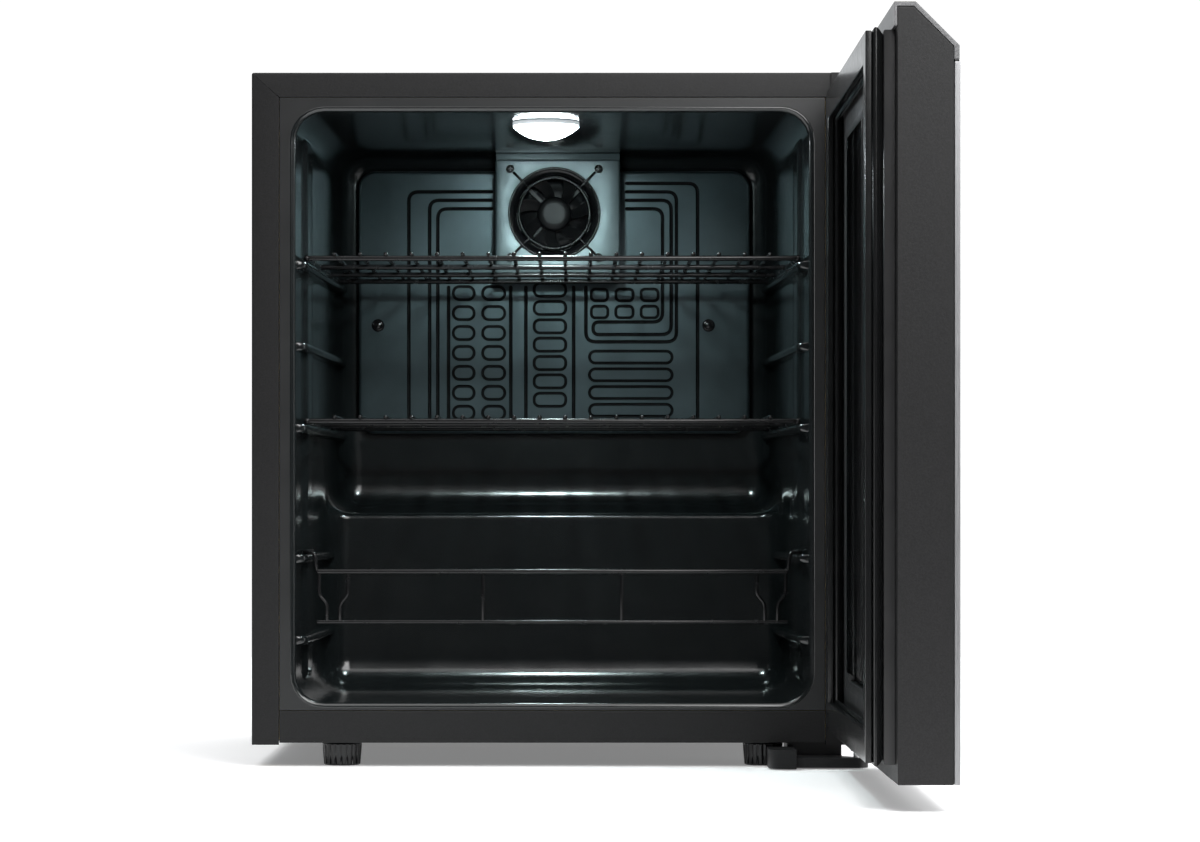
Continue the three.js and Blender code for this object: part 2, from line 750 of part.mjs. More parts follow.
// ---------------------------------------------------------------- hinges
// A cast foot under the cabinet: a block that is screwed up into it, an arm to the axis, and a raised
// round-nosed lobe at its outer end.
function lowerHingeBracket() {
  const { left, right, front, back, top } = BRACKET;
  const block = box(left, right, front, back, ARM.bottom, top);
  const arm = prismZ(
    polygon([
      [LOBE.left + 3, -30],
      [AXIS.x, AXIS.y - ARM.end],
      [AXIS.x, AXIS.y + ARM.end],
      [right, -6],
      [right, back],
      [left, back],
      [left, -2],
      [LOBE.left + 3, -2],
    ]),
    ARM.bottom,
    ARM.top,
  );
  const eye = cylinderZ(AXIS.x, AXIS.y, ARM.end, ARM.bottom, ARM.top, 24);
  const nose = new THREE.Shape();
  nose.moveTo(LOBE.right, LOBE.front);
  nose.lineTo(LOBE.right, LOBE.back);
  nose.lineTo(LOBE.left, LOBE.back);
  nose.lineTo(LOBE.left, LOBE.front + 18);
  nose.quadraticCurveTo(LOBE.left, LOBE.front + 1, LOBE.left + 14, LOBE.front);
  const lobe = prismZ(nose, LOBE.bottom, LOBE.top, 8);
  const bore = cylinderZ(AXIS.x, AXIS.y, PIN.hole, ARM.bottom + 2, ARM.top + 1, 16);
  return cut(join(block, arm, eye, lobe), bore);
}

function lowerHingePin() {
  return cylinderZ(AXIS.x, AXIS.y, PIN.r, ARM.bottom + 2 + GAP, LUG.top - 0.4, 16);
}

// A leaf on the front flange, and a tongue that reaches over the door to the axis.
function upperHingeBracket() {
  const top = CASE.top - 0.1;
  const under = DOOR.capTop + 0.4;
  const leaf = box(LEAF.left, LEAF.right, -LEAF.thick - GAP, -GAP, LEAF.bottom, top);
  const tongue = prismZ(
    polygon([
      [LEAF.tongue, -GAP],
      [LEAF.tongue, AXIS.y],
      [AXIS.x - 4, AXIS.y - 7],
      [AXIS.x + 4, AXIS.y - 7],
      [AXIS.x + 7, AXIS.y],
      [LEAF.right, -GAP],
    ]),
    under,
    top,
  );
  return cut(join(leaf, tongue), cylinderZ(AXIS.x, AXIS.y, PIN.hole, under - 1, top + 1, 16));
}

function upperHingePin() {
  return cylinderZ(AXIS.x, AXIS.y, PIN.r, KNUCKLE.bottom + 1, CASE.top - 0.2, 16);
}

// The barrel at the door's upper corner that turns on the upper pin.
function doorKnuckle() {
  const barrel = cylinderZ(AXIS.x, AXIS.y, KNUCKLE.r, KNUCKLE.bottom, KNUCKLE.top, 20);
  return cut(barrel, cylinderZ(AXIS.x, AXIS.y, PIN.hole, KNUCKLE.bottom - 1, KNUCKLE.top + 1, 16));
}

// A plate under or over the door's corner, with an eye round the axis.
function doorLug(z0, z1) {
  const x0 = DOOR.half - 34;
  const [y0, y1] = [-48, AXIS.y - 1];
  const plate = prismZ(roundedRect(x0, DOOR.half, y0, y1, 3), z0, z1);
  const neck = box(AXIS.x - LUG.ring - 4, AXIS.x + LUG.ring - 1.2, y1 - 6, AXIS.y, z0, z1);
  const eye = cylinderZ(AXIS.x, AXIS.y, LUG.ring, z0, z1, 20);
  return cut(join(plate, neck, eye), cylinderZ(AXIS.x, AXIS.y, PIN.hole, z0 - 1, z1 + 1, 16));
}

// ---------------------------------------------------------------- door, drawn closed
// The section of the frame seen from the side, with its top front corner cut off.
function frameOutline() {
  const { back, front, bottom, top } = DOOR;
  return polygon([
    [back, bottom],
    [back, top],
    [CHAMFER.back, top],
    [front, CHAMFER.bottom],
    [front, bottom],
  ]);
}

function doorStile(side) {
  const [a, b] = [side * WINDOW.half, side * DOOR.half];
  const stile = prismX(frameOutline(), Math.min(a, b), Math.max(a, b));
  return side > 0 ? cut(stile, knuckleSeat()) : stile;
}

// The round corner seat that the upper knuckle stands in.
function knuckleSeat() {
  return cylinderZ(AXIS.x, AXIS.y, KNUCKLE.r + GAP, KNUCKLE.bottom - GAP, CASE.top, 20);
}

function doorTopRail() {
  const half = WINDOW.half - GAP;
  return overlap(prismX(frameOutline(), -half, half), box(-half, half, -100, 0, WINDOW.top, 600));
}

function doorBottomRail() {
  const half = WINDOW.half - GAP;
  return box(-half, half, DOOR.front, DOOR.back, DOOR.bottom, WINDOW.bottom);
}

// A folded cover over the door's top, down its chamfer and a little way down the front and back.
function doorTopCap() {
  const { back, backBottom, front, frontBottom } = CAP;
  const inside = { back: DOOR.back + GAP, top: DOOR.top + GAP, front: DOOR.front - GAP };
  const profile = polygon([
    [back, backBottom],
    [back, DOOR.capTop],
    [CAP_SLOPE.top, DOOR.capTop],
    [front, CAP_SLOPE.bottom],
    [front, frontBottom],
    [inside.front, frontBottom],
    [inside.front, CAP_SLOPE.bottom - 0.7],
    [CAP_SLOPE.top + 1.2, inside.top],
    [inside.back, inside.top],
    [inside.back, backBottom],
  ]);
  const cap = prismX(profile, -DOOR.half, DOOR.half);
  return cut(cap, knuckleSeat());
}

function doorFrontPanel() {
  const outer = { half: DOOR.half, bottom: DOOR.bottom, top: PANEL.top };
  return ringY(outer, WINDOW, PANEL.front, PANEL.back);
}

function pane(front, back) {
  const half = WINDOW.half - GAP;
  return box(-half, half, front, back, WINDOW.bottom + GAP, WINDOW.top - GAP);
}

function glazingSpacer() {
  const edge = 3;
  const outer = {
    half: WINDOW.half - GAP - edge,
    bottom: WINDOW.bottom + GAP + edge,
    top: WINDOW.top - GAP - edge,
  };
  const inner = { half: outer.half - 7, bottom: outer.bottom + 7, top: outer.top - 7 };
  return ringY(outer, inner, -24, -15.8);
}

function doorBezel() {
  return ringY(BEZEL, WINDOW, BEZEL.back, BEZEL.front);
}

// The magnetic seal: a flat lip on a narrower bellows.
function doorGasket() {
  const { half, bottom, top, width, lip, face, bellows } = GASKET;
  const inset = (amount) => ({ half: half - amount, bottom: bottom + amount, top: top - amount });
  const side = (width - bellows) / 2;
  const strip = ringY(inset(0), inset(width), face - lip, face);
  const folds = ringY(inset(side), inset(side + bellows), BEZEL.front + GAP, face - lip + 0.5);
  return join(strip, folds);
}

// ---------------------------------------------------------------- assembly
function buildCabinet() {
  const cabinet = new THREE.Group();
  const add = (name, geometry, material) => place(cabinet, name, geometry, material);
  add("outer_casing", outerCasing(), MATERIAL.casing);
  add("back_panel", backPanel(), MATERIAL.casing);
  add("front_trim", frontTrim(), MATERIAL.casing);
  add("bottom_panel", bottomPanel(), MATERIAL.galvanised);
  add("compressor_bay_wall", bayWall(), MATERIAL.galvanised);
  add("compressor_deck", bayDeck(), MATERIAL.galvanised);
  add("inner_liner", innerLiner(), MATERIAL.liner);
  add("insulation_foam", insulationFoam(), MATERIAL.foam);
  add("evaporator_plate", evaporatorPlate(), MATERIAL.coldPlate);
  add("evaporator_screw_left", plateScrew(PLATE_SCREWS.left), MATERIAL.zincScrew);
  add("evaporator_screw_right", plateScrew(PLATE_SCREWS.right), MATERIAL.zincScrew);
  add("fan_cover", fanCover(), MATERIAL.fanCover);
  add("fan_guard", fanGuard(), MATERIAL.wire);
  add("fan_frame", fanFrame(), MATERIAL.blackPlastic);
  add("fan_motor", fanMotor(), MATERIAL.galvanised);
  add("fan_impeller", fanImpeller(), MATERIAL.blackPlastic);
  add("door_switch", switchBox(SWITCH.y - SWITCH.size / 2, 0), MATERIAL.whitePlastic);
  add("lamp_base", lampBase(), MATERIAL.whitePlastic);
  add("lamp_lens", lampLens(), MATERIAL.lens);
  add("upper_shelf", wireShelf(SHELF_LEDGES.upper), MATERIAL.wire);
  add("lower_shelf", wireShelf(SHELF_LEDGES.lower), MATERIAL.wire);
  add("bottle_guard", bottleGuard(), MATERIAL.wire);
  for (const [name, side] of [["left", -1], ["right", 1]]) {
    const x = side * FOOT.x;
    add("front_foot_" + name, levellingFoot().translate(x, FOOT.frontY, 0), MATERIAL.blackPlastic);
    add("rear_foot_" + name, rearFoot().translate(x, FOOT.rearY, 0), MATERIAL.rubber);
    add("condenser_bracket_" + name, condenserBracket(side), MATERIAL.blackPlastic);
  }
  add("compressor", compressor(), MATERIAL.compressor);
  for (const [name, dx, dy] of [["1", -1, -1], ["2", 1, -1], ["3", -1, 1], ["4", 1, 1]])
    add("compressor_mount_" + name, compressorMount(dx * MOUNTS.dx, dy * MOUNTS.dy), MATERIAL.rubber);
  add("compressor_relay_cover", relayCover(), MATERIAL.blackPlastic);
  add("drip_tray", dripTray(), MATERIAL.blackPlastic);
  add("discharge_line", dischargeLine(), MATERIAL.copper);
  add("suction_line", suctionLine(), MATERIAL.copper);
  add("filter_drier", filterDrier(), MATERIAL.copper);
  add("condenser_coil", condenserCoil(), MATERIAL.wire);
  add("thermostat_housing", thermostatHousing(), MATERIAL.blackPlastic);
  add("thermostat_knob", thermostatKnob(), MATERIAL.blackPlastic);
  add("power_inlet", powerInlet(), MATERIAL.blackPlastic);
  add("lower_hinge_bracket", lowerHingeBracket(), MATERIAL.blackPlastic);
  add("lower_hinge_pin", lowerHingePin(), MATERIAL.zincScrew);
  add("upper_hinge_bracket", upperHingeBracket(), MATERIAL.casing);
  add("upper_hinge_pin", upperHingePin(), MATERIAL.zincScrew);
  return cabinet;
}

function buildDoor() {
  const closed = new THREE.Group();
  const add = (name, geometry, material) => place(closed, name, geometry, material);
  add("door_stile_free", doorStile(-1), MATERIAL.casing);
  add("door_stile_hinge", doorStile(1), MATERIAL.casing);
  add("door_top_rail", doorTopRail(), MATERIAL.casing);
  add("door_bottom_rail", doorBottomRail(), MATERIAL.casing);
  add("door_top_cap", doorTopCap(), MATERIAL.doorCap);
  add("door_front_panel", doorFrontPanel(), MATERIAL.brushed);
  add("door_front_glass", pane(PANEL.front + 0.6, PANEL.back), MATERIAL.glass);
  add("door_middle_glass", pane(-27.3, -24.3), MATERIAL.glass);
  add("glazing_spacer", glazingSpacer(), MATERIAL.spacer);
  add("door_inner_glass", pane(-15.5, -12.5), MATERIAL.glass);
  add("door_bezel", doorBezel(), MATERIAL.blackPlastic);
  add("door_gasket", doorGasket(), MATERIAL.rubber);
  add("door_lug", doorLug(LUG.bottom, LUG.top), MATERIAL.blackPlastic);
  add("door_knuckle", doorKnuckle(), MATERIAL.casing);
  closed.position.set(-AXIS.x, -AXIS.y, 0);
  const swing = new THREE.Group();
  swing.rotation.z = OPEN_ANGLE;
  swing.position.set(AXIS.x, AXIS.y, 0);
  swing.add(closed);
  return swing;
}

const fridge = new THREE.Group();
fridge.add(buildCabinet(), buildDoor());
const span = new THREE.Box3().setFromObject(fridge);
fridge.position.set(-(span.min.x + span.max.x) / 2, -(span.min.y + span.max.y) / 2, 0);

export default fridge;
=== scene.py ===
# Looks for the mini fridge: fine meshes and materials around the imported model.
# Pieces are drawn in millimetres in the cabinet's own frame: X across from its centre line, Y back from
# its front face, Z up from the floor. The door's pieces are drawn in the same frame with the door shut.
# Both are then put in the row frame, in metres.
import json
from math import asin, cos, degrees, pi, radians, sin

import bmesh
import bpy
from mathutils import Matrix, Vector


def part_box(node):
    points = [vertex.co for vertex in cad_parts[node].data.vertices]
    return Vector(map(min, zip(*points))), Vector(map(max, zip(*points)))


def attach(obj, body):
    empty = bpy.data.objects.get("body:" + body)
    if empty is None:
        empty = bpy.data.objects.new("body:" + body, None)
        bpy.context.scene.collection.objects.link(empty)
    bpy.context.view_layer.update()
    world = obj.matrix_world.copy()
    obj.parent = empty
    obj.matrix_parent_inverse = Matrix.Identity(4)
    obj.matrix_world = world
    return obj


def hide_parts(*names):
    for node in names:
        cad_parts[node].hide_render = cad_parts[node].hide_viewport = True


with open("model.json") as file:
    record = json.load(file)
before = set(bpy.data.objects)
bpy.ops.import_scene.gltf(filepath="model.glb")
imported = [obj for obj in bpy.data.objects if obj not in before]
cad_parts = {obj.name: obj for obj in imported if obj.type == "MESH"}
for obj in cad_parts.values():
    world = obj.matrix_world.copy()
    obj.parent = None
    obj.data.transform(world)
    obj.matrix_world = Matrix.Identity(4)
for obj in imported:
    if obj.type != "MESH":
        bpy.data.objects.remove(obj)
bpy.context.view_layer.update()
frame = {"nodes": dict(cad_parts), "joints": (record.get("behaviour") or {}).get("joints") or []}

MM = 0.001
GAP = 0.3


# ---- the frame's own measures
CASING_LOW, CASING_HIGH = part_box("outer_casing")
CASING_HALF = (CASING_HIGH.x - CASING_LOW.x) / MM / 2
CABINET_X = (CASING_LOW.x + CASING_HIGH.x) / 2
FRONT_Y = CASING_LOW.y
HINGE = Vector(next(j for j in frame["joints"] if j["name"] == "door_hinge")["pos_m"])
AXIS_X = (HINGE.x - CABINET_X) / MM
AXIS_Y = (HINGE.y - FRONT_Y) / MM


def place(x, y, z):
    """A point of the cabinet, from millimetres to the row frame."""
    return Vector((CABINET_X + x * MM, FRONT_Y + y * MM, z * MM))


def swing(x, y, z):
    """A point of the shut door, turned open about the hinge."""
    return place(AXIS_X - (y - AXIS_Y), AXIS_Y + (x - AXIS_X), z)


class Span:
    """A CAD node's box in the cabinet's millimetres, or in the shut door's."""

    def __init__(self, node, on_door=False):
        low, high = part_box(node)
        x0, x1 = (low.x - CABINET_X) / MM, (high.x - CABINET_X) / MM
        y0, y1 = (low.y - FRONT_Y) / MM, (high.y - FRONT_Y) / MM
        if on_door:
            shut_y = (AXIS_Y + AXIS_X - x1, AXIS_Y + AXIS_X - x0)
            x0, x1 = y0 - AXIS_Y + AXIS_X, y1 - AXIS_Y + AXIS_X
            y0, y1 = shut_y
        self.x0, self.x1, self.y0, self.y1 = x0, x1, y0, y1
        self.z0, self.z1 = low.z / MM, high.z / MM
        self.x, self.y, self.z = (x0 + x1) / 2, (y0 + y1) / 2, (self.z0 + self.z1) / 2
        self.half, self.half_y, self.half_z = (x1 - x0) / 2, (y1 - y0) / 2, (self.z1 - self.z0) / 2
        self.height = self.z1 - self.z0


# ---- mesh helpers
class Form:
    """Points and faces of one piece, gathered before its mesh is made."""

    def __init__(self):
        self.points = []
        self.faces = []

    def skin(self, rings, ends=True, loop=True, closed=False):
        """Joins rings of equal length with quads: ends caps the first and last, loop closes each ring,
        closed joins the last ring to the first."""
        first, count = len(self.points), len(rings[0])
        for ring in rings:
            self.points.extend(tuple(p) for p in ring)
        for i in range(len(rings) if closed else len(rings) - 1):
            a, b = first + i * count, first + (i + 1) % len(rings) * count
            for j in range(count if loop else count - 1):
                k = (j + 1) % count
                self.faces.append((a + j, a + k, b + k, b + j))
        if ends and not closed:
            last = first + (len(rings) - 1) * count
            self.faces.append(tuple(range(first, first + count)))
            self.faces.append(tuple(range(last, last + count)))
        return self


def make_mesh(name, form, to_row):
    mesh = bpy.data.meshes.new(name)
    mesh.from_pydata([to_row(*p) for p in form.points], [], form.faces)
    b = bmesh.new()
    b.from_mesh(mesh)
    bmesh.ops.recalc_face_normals(b, faces=b.faces)
    b.to_mesh(mesh)
    b.free()
    return mesh


def smooth(mesh, sharp_degrees):
    mesh.polygons.foreach_set("use_smooth", [True] * len(mesh.polygons))
    mesh.set_sharp_from_angle(angle=radians(sharp_degrees))


BEVEL_FROM_DEGREES = 28


def add_bevel(piece, width, segments=3):
    bevel = piece.modifiers.new("edges", "BEVEL")
    bevel.width = width * MM
    bevel.segments = segments
    bevel.limit_method = "ANGLE"
    bevel.angle_limit = radians(BEVEL_FROM_DEGREES)
    bevel.harden_normals = True
    even_shading(piece)


def even_shading(piece):
    shading = piece.modifiers.new("shading", "WEIGHTED_NORMAL")
    shading.keep_sharp = True


def link_object(name, data):
    made = bpy.data.objects.new(name, data)
    bpy.context.scene.collection.objects.link(made)
    return made


def add_piece(name, form, material, replaced=(), body="cabinet", bevel=0, sharp=38):
    """Makes a form into a piece of a body; the door's pieces are swung open with it."""
    mesh = make_mesh(name, form, swing if body == "door" else place)
    smooth(mesh, sharp)
    mesh.materials.append(material)
    piece = link_object(name, mesh)
    if bevel:
        add_bevel(piece, bevel)
    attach(piece, body)
    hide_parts(*replaced)
    return piece


def finish_node(node, material):
    """Gives a CAD node its material, with its doubled points welded by a modifier."""
    piece = frame["nodes"][node]
    piece.data.materials.clear()
    piece.data.materials.append(material)
    piece.data.polygons.foreach_set("use_smooth", [True] * len(piece.data.polygons))
    weld = piece.modifiers.new("weld", "WELD")
    weld.merge_threshold = 0.005 * MM
    return piece


def dress(material, bevel, *nodes, segments=3):
    """CAD nodes of one material, with their edges rounded by modifiers."""
    for node in nodes:
        add_bevel(finish_node(node, material), bevel, segments)


def radians_between(start, end, steps):
    return [radians(start + (end - start) * i / steps) for i in range(steps + 1)]


def quarter(steps):
    return radians_between(0, 90, steps)


def arc(centre_a, centre_b, radius, start, end, steps):
    """Points of an arc in a plane, with angles in degrees."""
    turns = radians_between(start, end, steps)
    return [(centre_a + radius * cos(t), centre_b + radius * sin(t)) for t in turns]


def rounded_outline(half_a, half_b, radius, steps=6):
    """A rectangle with round corners about the origin, with as many points on each corner."""
    a, b = half_a - radius, half_b - radius
    points = []
    for i, (sa, sb) in enumerate([(1, 1), (-1, 1), (-1, -1), (1, -1)]):
        points += arc(sa * a, sb * b, radius, 90 * i, 90 * i + 90, steps)
    return points


def slab(form, centre, half_a, half_b, radius, levels, axis="Y"):
    """A block with a rounded outline, which each (depth, inset) level along the axis pulls in."""
    ca, cb = centre
    rings = []
    for depth, inset in levels:
        corner = max(radius - inset, 0.05)
        outline = rounded_outline(half_a - inset, half_b - inset, corner)
        ring = [(ca + a, cb + b) for a, b in outline]
        if axis == "Y":
            rings.append([(a, depth, b) for a, b in ring])
        elif axis == "Z":
            rings.append([(a, b, depth) for a, b in ring])
        else:
            rings.append([(depth, a, b) for a, b in ring])
    return form.skin(rings)


def soft_block(form, x0, x1, y0, y1, z0, z1, corner=2.0, edge=0.8, axis="Y"):
    """A box with round corners seen along the axis, and rounded edges round both ends."""
    spans = {"X": (y0, y1, z0, z1, x0, x1), "Y": (x0, x1, z0, z1, y0, y1), "Z": (x0, x1, y0, y1, z0, z1)}
    a0, a1, b0, b1, d0, d1 = spans[axis]
    turns = quarter(3)
    near = [(d0 + edge * (1 - sin(t)), edge * (1 - cos(t))) for t in reversed(turns)]
    far = [(d1 - edge * (1 - sin(t)), edge * (1 - cos(t))) for t in turns]
    centre = ((a0 + a1) / 2, (b0 + b1) / 2)
    return slab(form, centre, (a1 - a0) / 2, (b1 - b0) / 2, corner, near + far, axis)


def lathe(form, profile, centre, axis="Z", sides=48, wave=None):
    """Turns (radius, height) points about an axis through the centre; wave scales the radius on the way."""
    cx, cy, cz = centre
    rings = []
    for radius, height in profile:
        ring = []
        for i in range(sides):
            t = 2 * pi * i / sides
            r = radius * (wave(t, height) if wave else 1)
            a, b = r * cos(t), r * sin(t)
            ring.append((cx + a, cy + b, cz + height) if axis == "Z" else (cx + a, cy + height, cz + b))
        rings.append(ring)
    return form.skin(rings)


def add_turned(name, node, outline, material, sides, base=None, axis="Z", sharp=60):
    """A turned piece that stands for one CAD node, about the middle of the node's box."""
    span = Span(node)
    if axis == "Y":
        centre = (span.x, span.y if base is None else base, span.z)
    else:
        centre = (span.x, span.y, span.z0 if base is None else base)
    form = lathe(Form(), outline, centre, axis, sides)
    return add_piece(name, form, material, [node], sharp=sharp)


def rounded_path(corners, bend, steps=6):
    """A line through corner points, with each corner turned into an arc of the bend's reach."""
    points = [Vector(corners[0])]
    for before, corner, after in zip(corners, corners[1:], corners[2:]):
        before, corner, after = Vector(before), Vector(corner), Vector(after)
        reach = min(bend, (before - corner).length * 0.48, (after - corner).length * 0.48)
        start = corner + (before - corner).normalized() * reach
        end = corner + (after - corner).normalized() * reach
        for i in range(steps + 1):
            t = i / steps
            points.append(start * (1 - t) ** 2 + corner * 2 * t * (1 - t) + end * t * t)
    points.append(Vector(corners[-1]))
    return points


def tube(form, corners, radius, bend=0.0, sides=12, closed=False):
    """A round wire through corner points, closed in a ring or with hemispherical ends."""
    path = rounded_path(corners, bend) if bend else [Vector(c) for c in corners]
    radii = [radius] * len(path)
    if not closed:
        path, radii = dome_ends(path, radius)
    count = len(path)
    across = None
    rings = []
    for i, point in enumerate(path):
        ahead = path[(i + 1) % count] if closed or i < count - 1 else point
        behind = path[i - 1] if closed or i else point
        along = (ahead - behind).normalized()
        if across is None:
            across = along.orthogonal().normalized()
        across = (across - along * across.dot(along)).normalized()
        up = along.cross(across)
        turns = [2 * pi * j / sides for j in range(sides)]
        rings.append([point + (across * cos(t) + up * sin(t)) * radii[i] for t in turns])
    return form.skin(rings, closed=closed)


def dome_ends(path, radius):
    """Adds the points and radii that close both ends of a wire with a hemisphere."""
    head_way = (path[1] - path[0]).normalized()
    tail_way = (path[-2] - path[-1]).normalized()
    turns = radians_between(12, 90, 3)
    head = [path[0] + head_way * radius * (1 - cos(t)) for t in turns]
    tail = [path[-1] + tail_way * radius * (1 - cos(t)) for t in reversed(turns)]
    widths = [radius * sin(t) for t in turns]
    return head + path[1:-1] + tail, widths + [radius] * (len(path) - 2) + widths[::-1]


def frame_sweep(form, span, profile):
    """Sweeps a closed profile of (inset, depth) round a span's upright outline, mitred at its corners."""
    rings = []
    for side, upper in [(-1, 0), (1, 0), (1, 1), (-1, 1)]:
        ring = []
        for inset, depth in profile:
            z = span.z1 - inset if upper else span.z0 + inset
            ring.append((side * (span.half - inset), depth, z))
        rings.append(ring)
    return form.skin(rings, closed=True)


def ring_path(x, y, z, radius, steps, start=0.0, axis="Y"):
    """Points of a circle round an axis; the first is turned by a share of a step."""
    turns = [2 * pi * (i + start) / steps for i in range(steps)]
    if axis == "Y":
        return [(x + radius * cos(t), y, z + radius * sin(t)) for t in turns]
    return [(x + radius * cos(t), y + radius * sin(t), z) for t in turns]


# ---- material helpers
class Graph:
    """A material's nodes, added one at a time."""

    def __init__(self, name):
        self.material = bpy.data.materials.new(name)
        self.material.use_nodes = True
        self.tree = self.material.node_tree
        self.shader = self.tree.nodes["Principled BSDF"]
        self.coordinates = self.tree.nodes.new("ShaderNodeTexCoord").outputs["Object"]

    def node(self, kind, **values):
        made = self.tree.nodes.new("ShaderNode" + kind)
        for socket, value in values.items():
            made.inputs[socket.replace("_", " ")].default_value = value
        return made

    def link(self, output, socket):
        self.tree.links.new(output, socket)

    def stretched(self, scale):
        mapping = self.node("Mapping", Scale=scale)
        self.link(self.coordinates, mapping.inputs["Vector"])
        return mapping.outputs["Vector"]

    def noise(self, size, detail=2.0, roughness=0.5, where=None):
        """Noise whose features are about size millimetres across."""
        made = self.node("TexNoise", Scale=1 / (size * MM), Detail=detail, Roughness=roughness)
        self.link(where or self.coordinates, made.inputs["Vector"])
        return made.outputs["Fac"]

    def cells(self, size, output="Distance"):
        made = self.node("TexVoronoi", Scale=1 / (size * MM))
        self.link(self.coordinates, made.inputs["Vector"])
        return made.outputs[output]

    def ramp(self, fac, stops):
        made = self.node("ValToRGB")
        for element, (at, color) in zip(made.color_ramp.elements, stops):
            element.position = at
            element.color = (*color, 1)
        self.link(fac, made.inputs["Fac"])
        return made.outputs["Color"]

    def mottle(self, fac, color, change, low=0.3, high=0.7):
        """A colour that varies naturally by a share of itself."""
        dark = tuple(c * (1 - change) for c in color)
        light = tuple(min(1, c * (1 + change)) for c in color)
        return self.ramp(fac, [(low, dark), (high, light)])

    def spread(self, fac, middle, half):
        made = self.node("MapRange", From_Min=0.3, From_Max=0.7, To_Min=middle - half, To_Max=middle + half)
        self.link(fac, made.inputs["Value"])
        return made.outputs["Result"]

    def bump(self, height, relief, previous=None):
        """Bump of about relief millimetres."""
        made = self.node("Bump", Strength=1.0, Distance=relief * MM)
        self.link(height, made.inputs["Height"])
        if previous:
            self.link(previous, made.inputs["Normal"])
        return made.outputs["Normal"]

    def finish(self, color, roughness, normal, **sockets):
        self.link(color, self.shader.inputs["Base Color"])
        self.link(roughness, self.shader.inputs["Roughness"])
        self.link(normal, self.shader.inputs["Normal"])
        for socket, value in sockets.items():
            self.shader.inputs[socket.replace("_", " ")].default_value = value
        return self.material


# ---- materials
def moulded(name, color, roughness, grain, relief, patch=40, change=0.12, gloss=0.05, specular=0.5, **more):
    """A painted or moulded surface: soft patches of tone and gloss over a fine even grain."""
    graph = Graph(name)
    tone = graph.mottle(graph.noise(patch, detail=3), color, change)
    wear = graph.spread(graph.noise(patch / 3, detail=4), roughness, gloss)
    normal = graph.bump(graph.noise(grain), relief)
    return graph.finish(tone, wear, normal, Specular_IOR_Level=specular, **more)


def powder_coat(name, color, roughness=0.52, specular=0.24):
    """Textured paint: specks of tone on an orange-peel grain."""
    graph = Graph(name)
    tone = graph.mottle(graph.noise(0.9, roughness=0.7), color, 0.28, 0.35, 0.65)
    wear = graph.spread(graph.noise(60), roughness, 0.015)
    coarse = graph.bump(graph.noise(1.6, detail=1), 0.05)
    normal = graph.bump(graph.noise(0.5), 0.025, coarse)
    return graph.finish(tone, wear, normal, Specular_IOR_Level=specular)


def brushed_steel(name, color, along, roughness=0.34, metallic=1.0):
    """Fine parallel scratches that run along one axis."""
    graph = Graph(name)
    stretch = [1.0, 1.0, 1.0]
    stretch["XYZ".index(along)] = 0.015
    lines = graph.noise(0.45, detail=3, roughness=0.7, where=graph.stretched(stretch))
    tone = graph.mottle(lines, color, 0.14)
    wear = graph.spread(lines, roughness, 0.08)
    return graph.finish(tone, wear, graph.bump(lines, 0.006), Metallic=metallic)


def galvanised_sheet(name):
    """Zinc spangle: crystal cells of slightly different tone and gloss."""
    graph = Graph(name)
    tone = graph.mottle(graph.cells(9, "Color"), (0.40, 0.42, 0.43), 0.22, 0.2, 0.8)
    wear = graph.spread(graph.noise(6, detail=4), 0.43, 0.07)
    normal = graph.bump(graph.noise(2.5, detail=4), 0.012)
    return graph.finish(tone, wear, normal, Metallic=0.9)


def cell_foam(name):
    """Sprayed foam: yellow-brown patches over small blisters."""
    graph = Graph(name)
    tone = graph.mottle(graph.noise(12, detail=4), (0.66, 0.53, 0.27), 0.2)
    wear = graph.spread(graph.noise(8), 0.9, 0.05)
    return graph.finish(tone, wear, graph.bump(graph.cells(2.4), 0.4))


def cold_metal(name):
    """Roll-bonded aluminium with a dark hard coat: satin, with faint rolling lines."""
    graph = Graph(name)
    lines = graph.noise(1.2, detail=3, where=graph.stretched((1, 1, 0.05)))
    tone = graph.mottle(graph.noise(45, detail=3), (0.055, 0.075, 0.082), 0.16)
    wear = graph.spread(lines, 0.37, 0.05)
    return graph.finish(tone, wear, graph.bump(lines, 0.005), Metallic=0.75)


def tinted_glass(name, color):
    graph = Graph(name)
    tone = graph.mottle(graph.noise(120), color, 0.05)
    wear = graph.spread(graph.noise(60, detail=3), 0.0225, 0.0075)
    normal = graph.bump(graph.noise(90, detail=1), 0.02)
    return graph.finish(tone, wear, normal, Transmission_Weight=1.0, IOR=1.5)


def lamp_plastic(name, strength, roughness=0.25):
    """Cloudy lit plastic with a faint moulded grain."""
    graph = Graph(name)
    grain = graph.noise(1.2, detail=1)
    tone = graph.ramp(grain, [(0.3, (0.86, 0.93, 0.97)), (0.7, (0.95, 0.98, 1.0))])
    wear = graph.spread(graph.noise(8), roughness, 0.05)
    glow = {"Emission_Color": (0.86, 0.95, 1.0, 1), "Emission_Strength": strength}
    return graph.finish(tone, wear, graph.bump(grain, 0.02), **glow)


def stained_metal(name, stops, stain, wear, grain, relief):
    """Bare metal: a stain of (size, detail, roughness) between two tones, over a fine grain."""
    graph = Graph(name)
    patches = graph.noise(*stain)
    tone = graph.ramp(patches, stops)
    normal = graph.bump(graph.noise(grain), relief)
    return graph.finish(tone, graph.spread(patches, *wear), normal, Metallic=1.0)


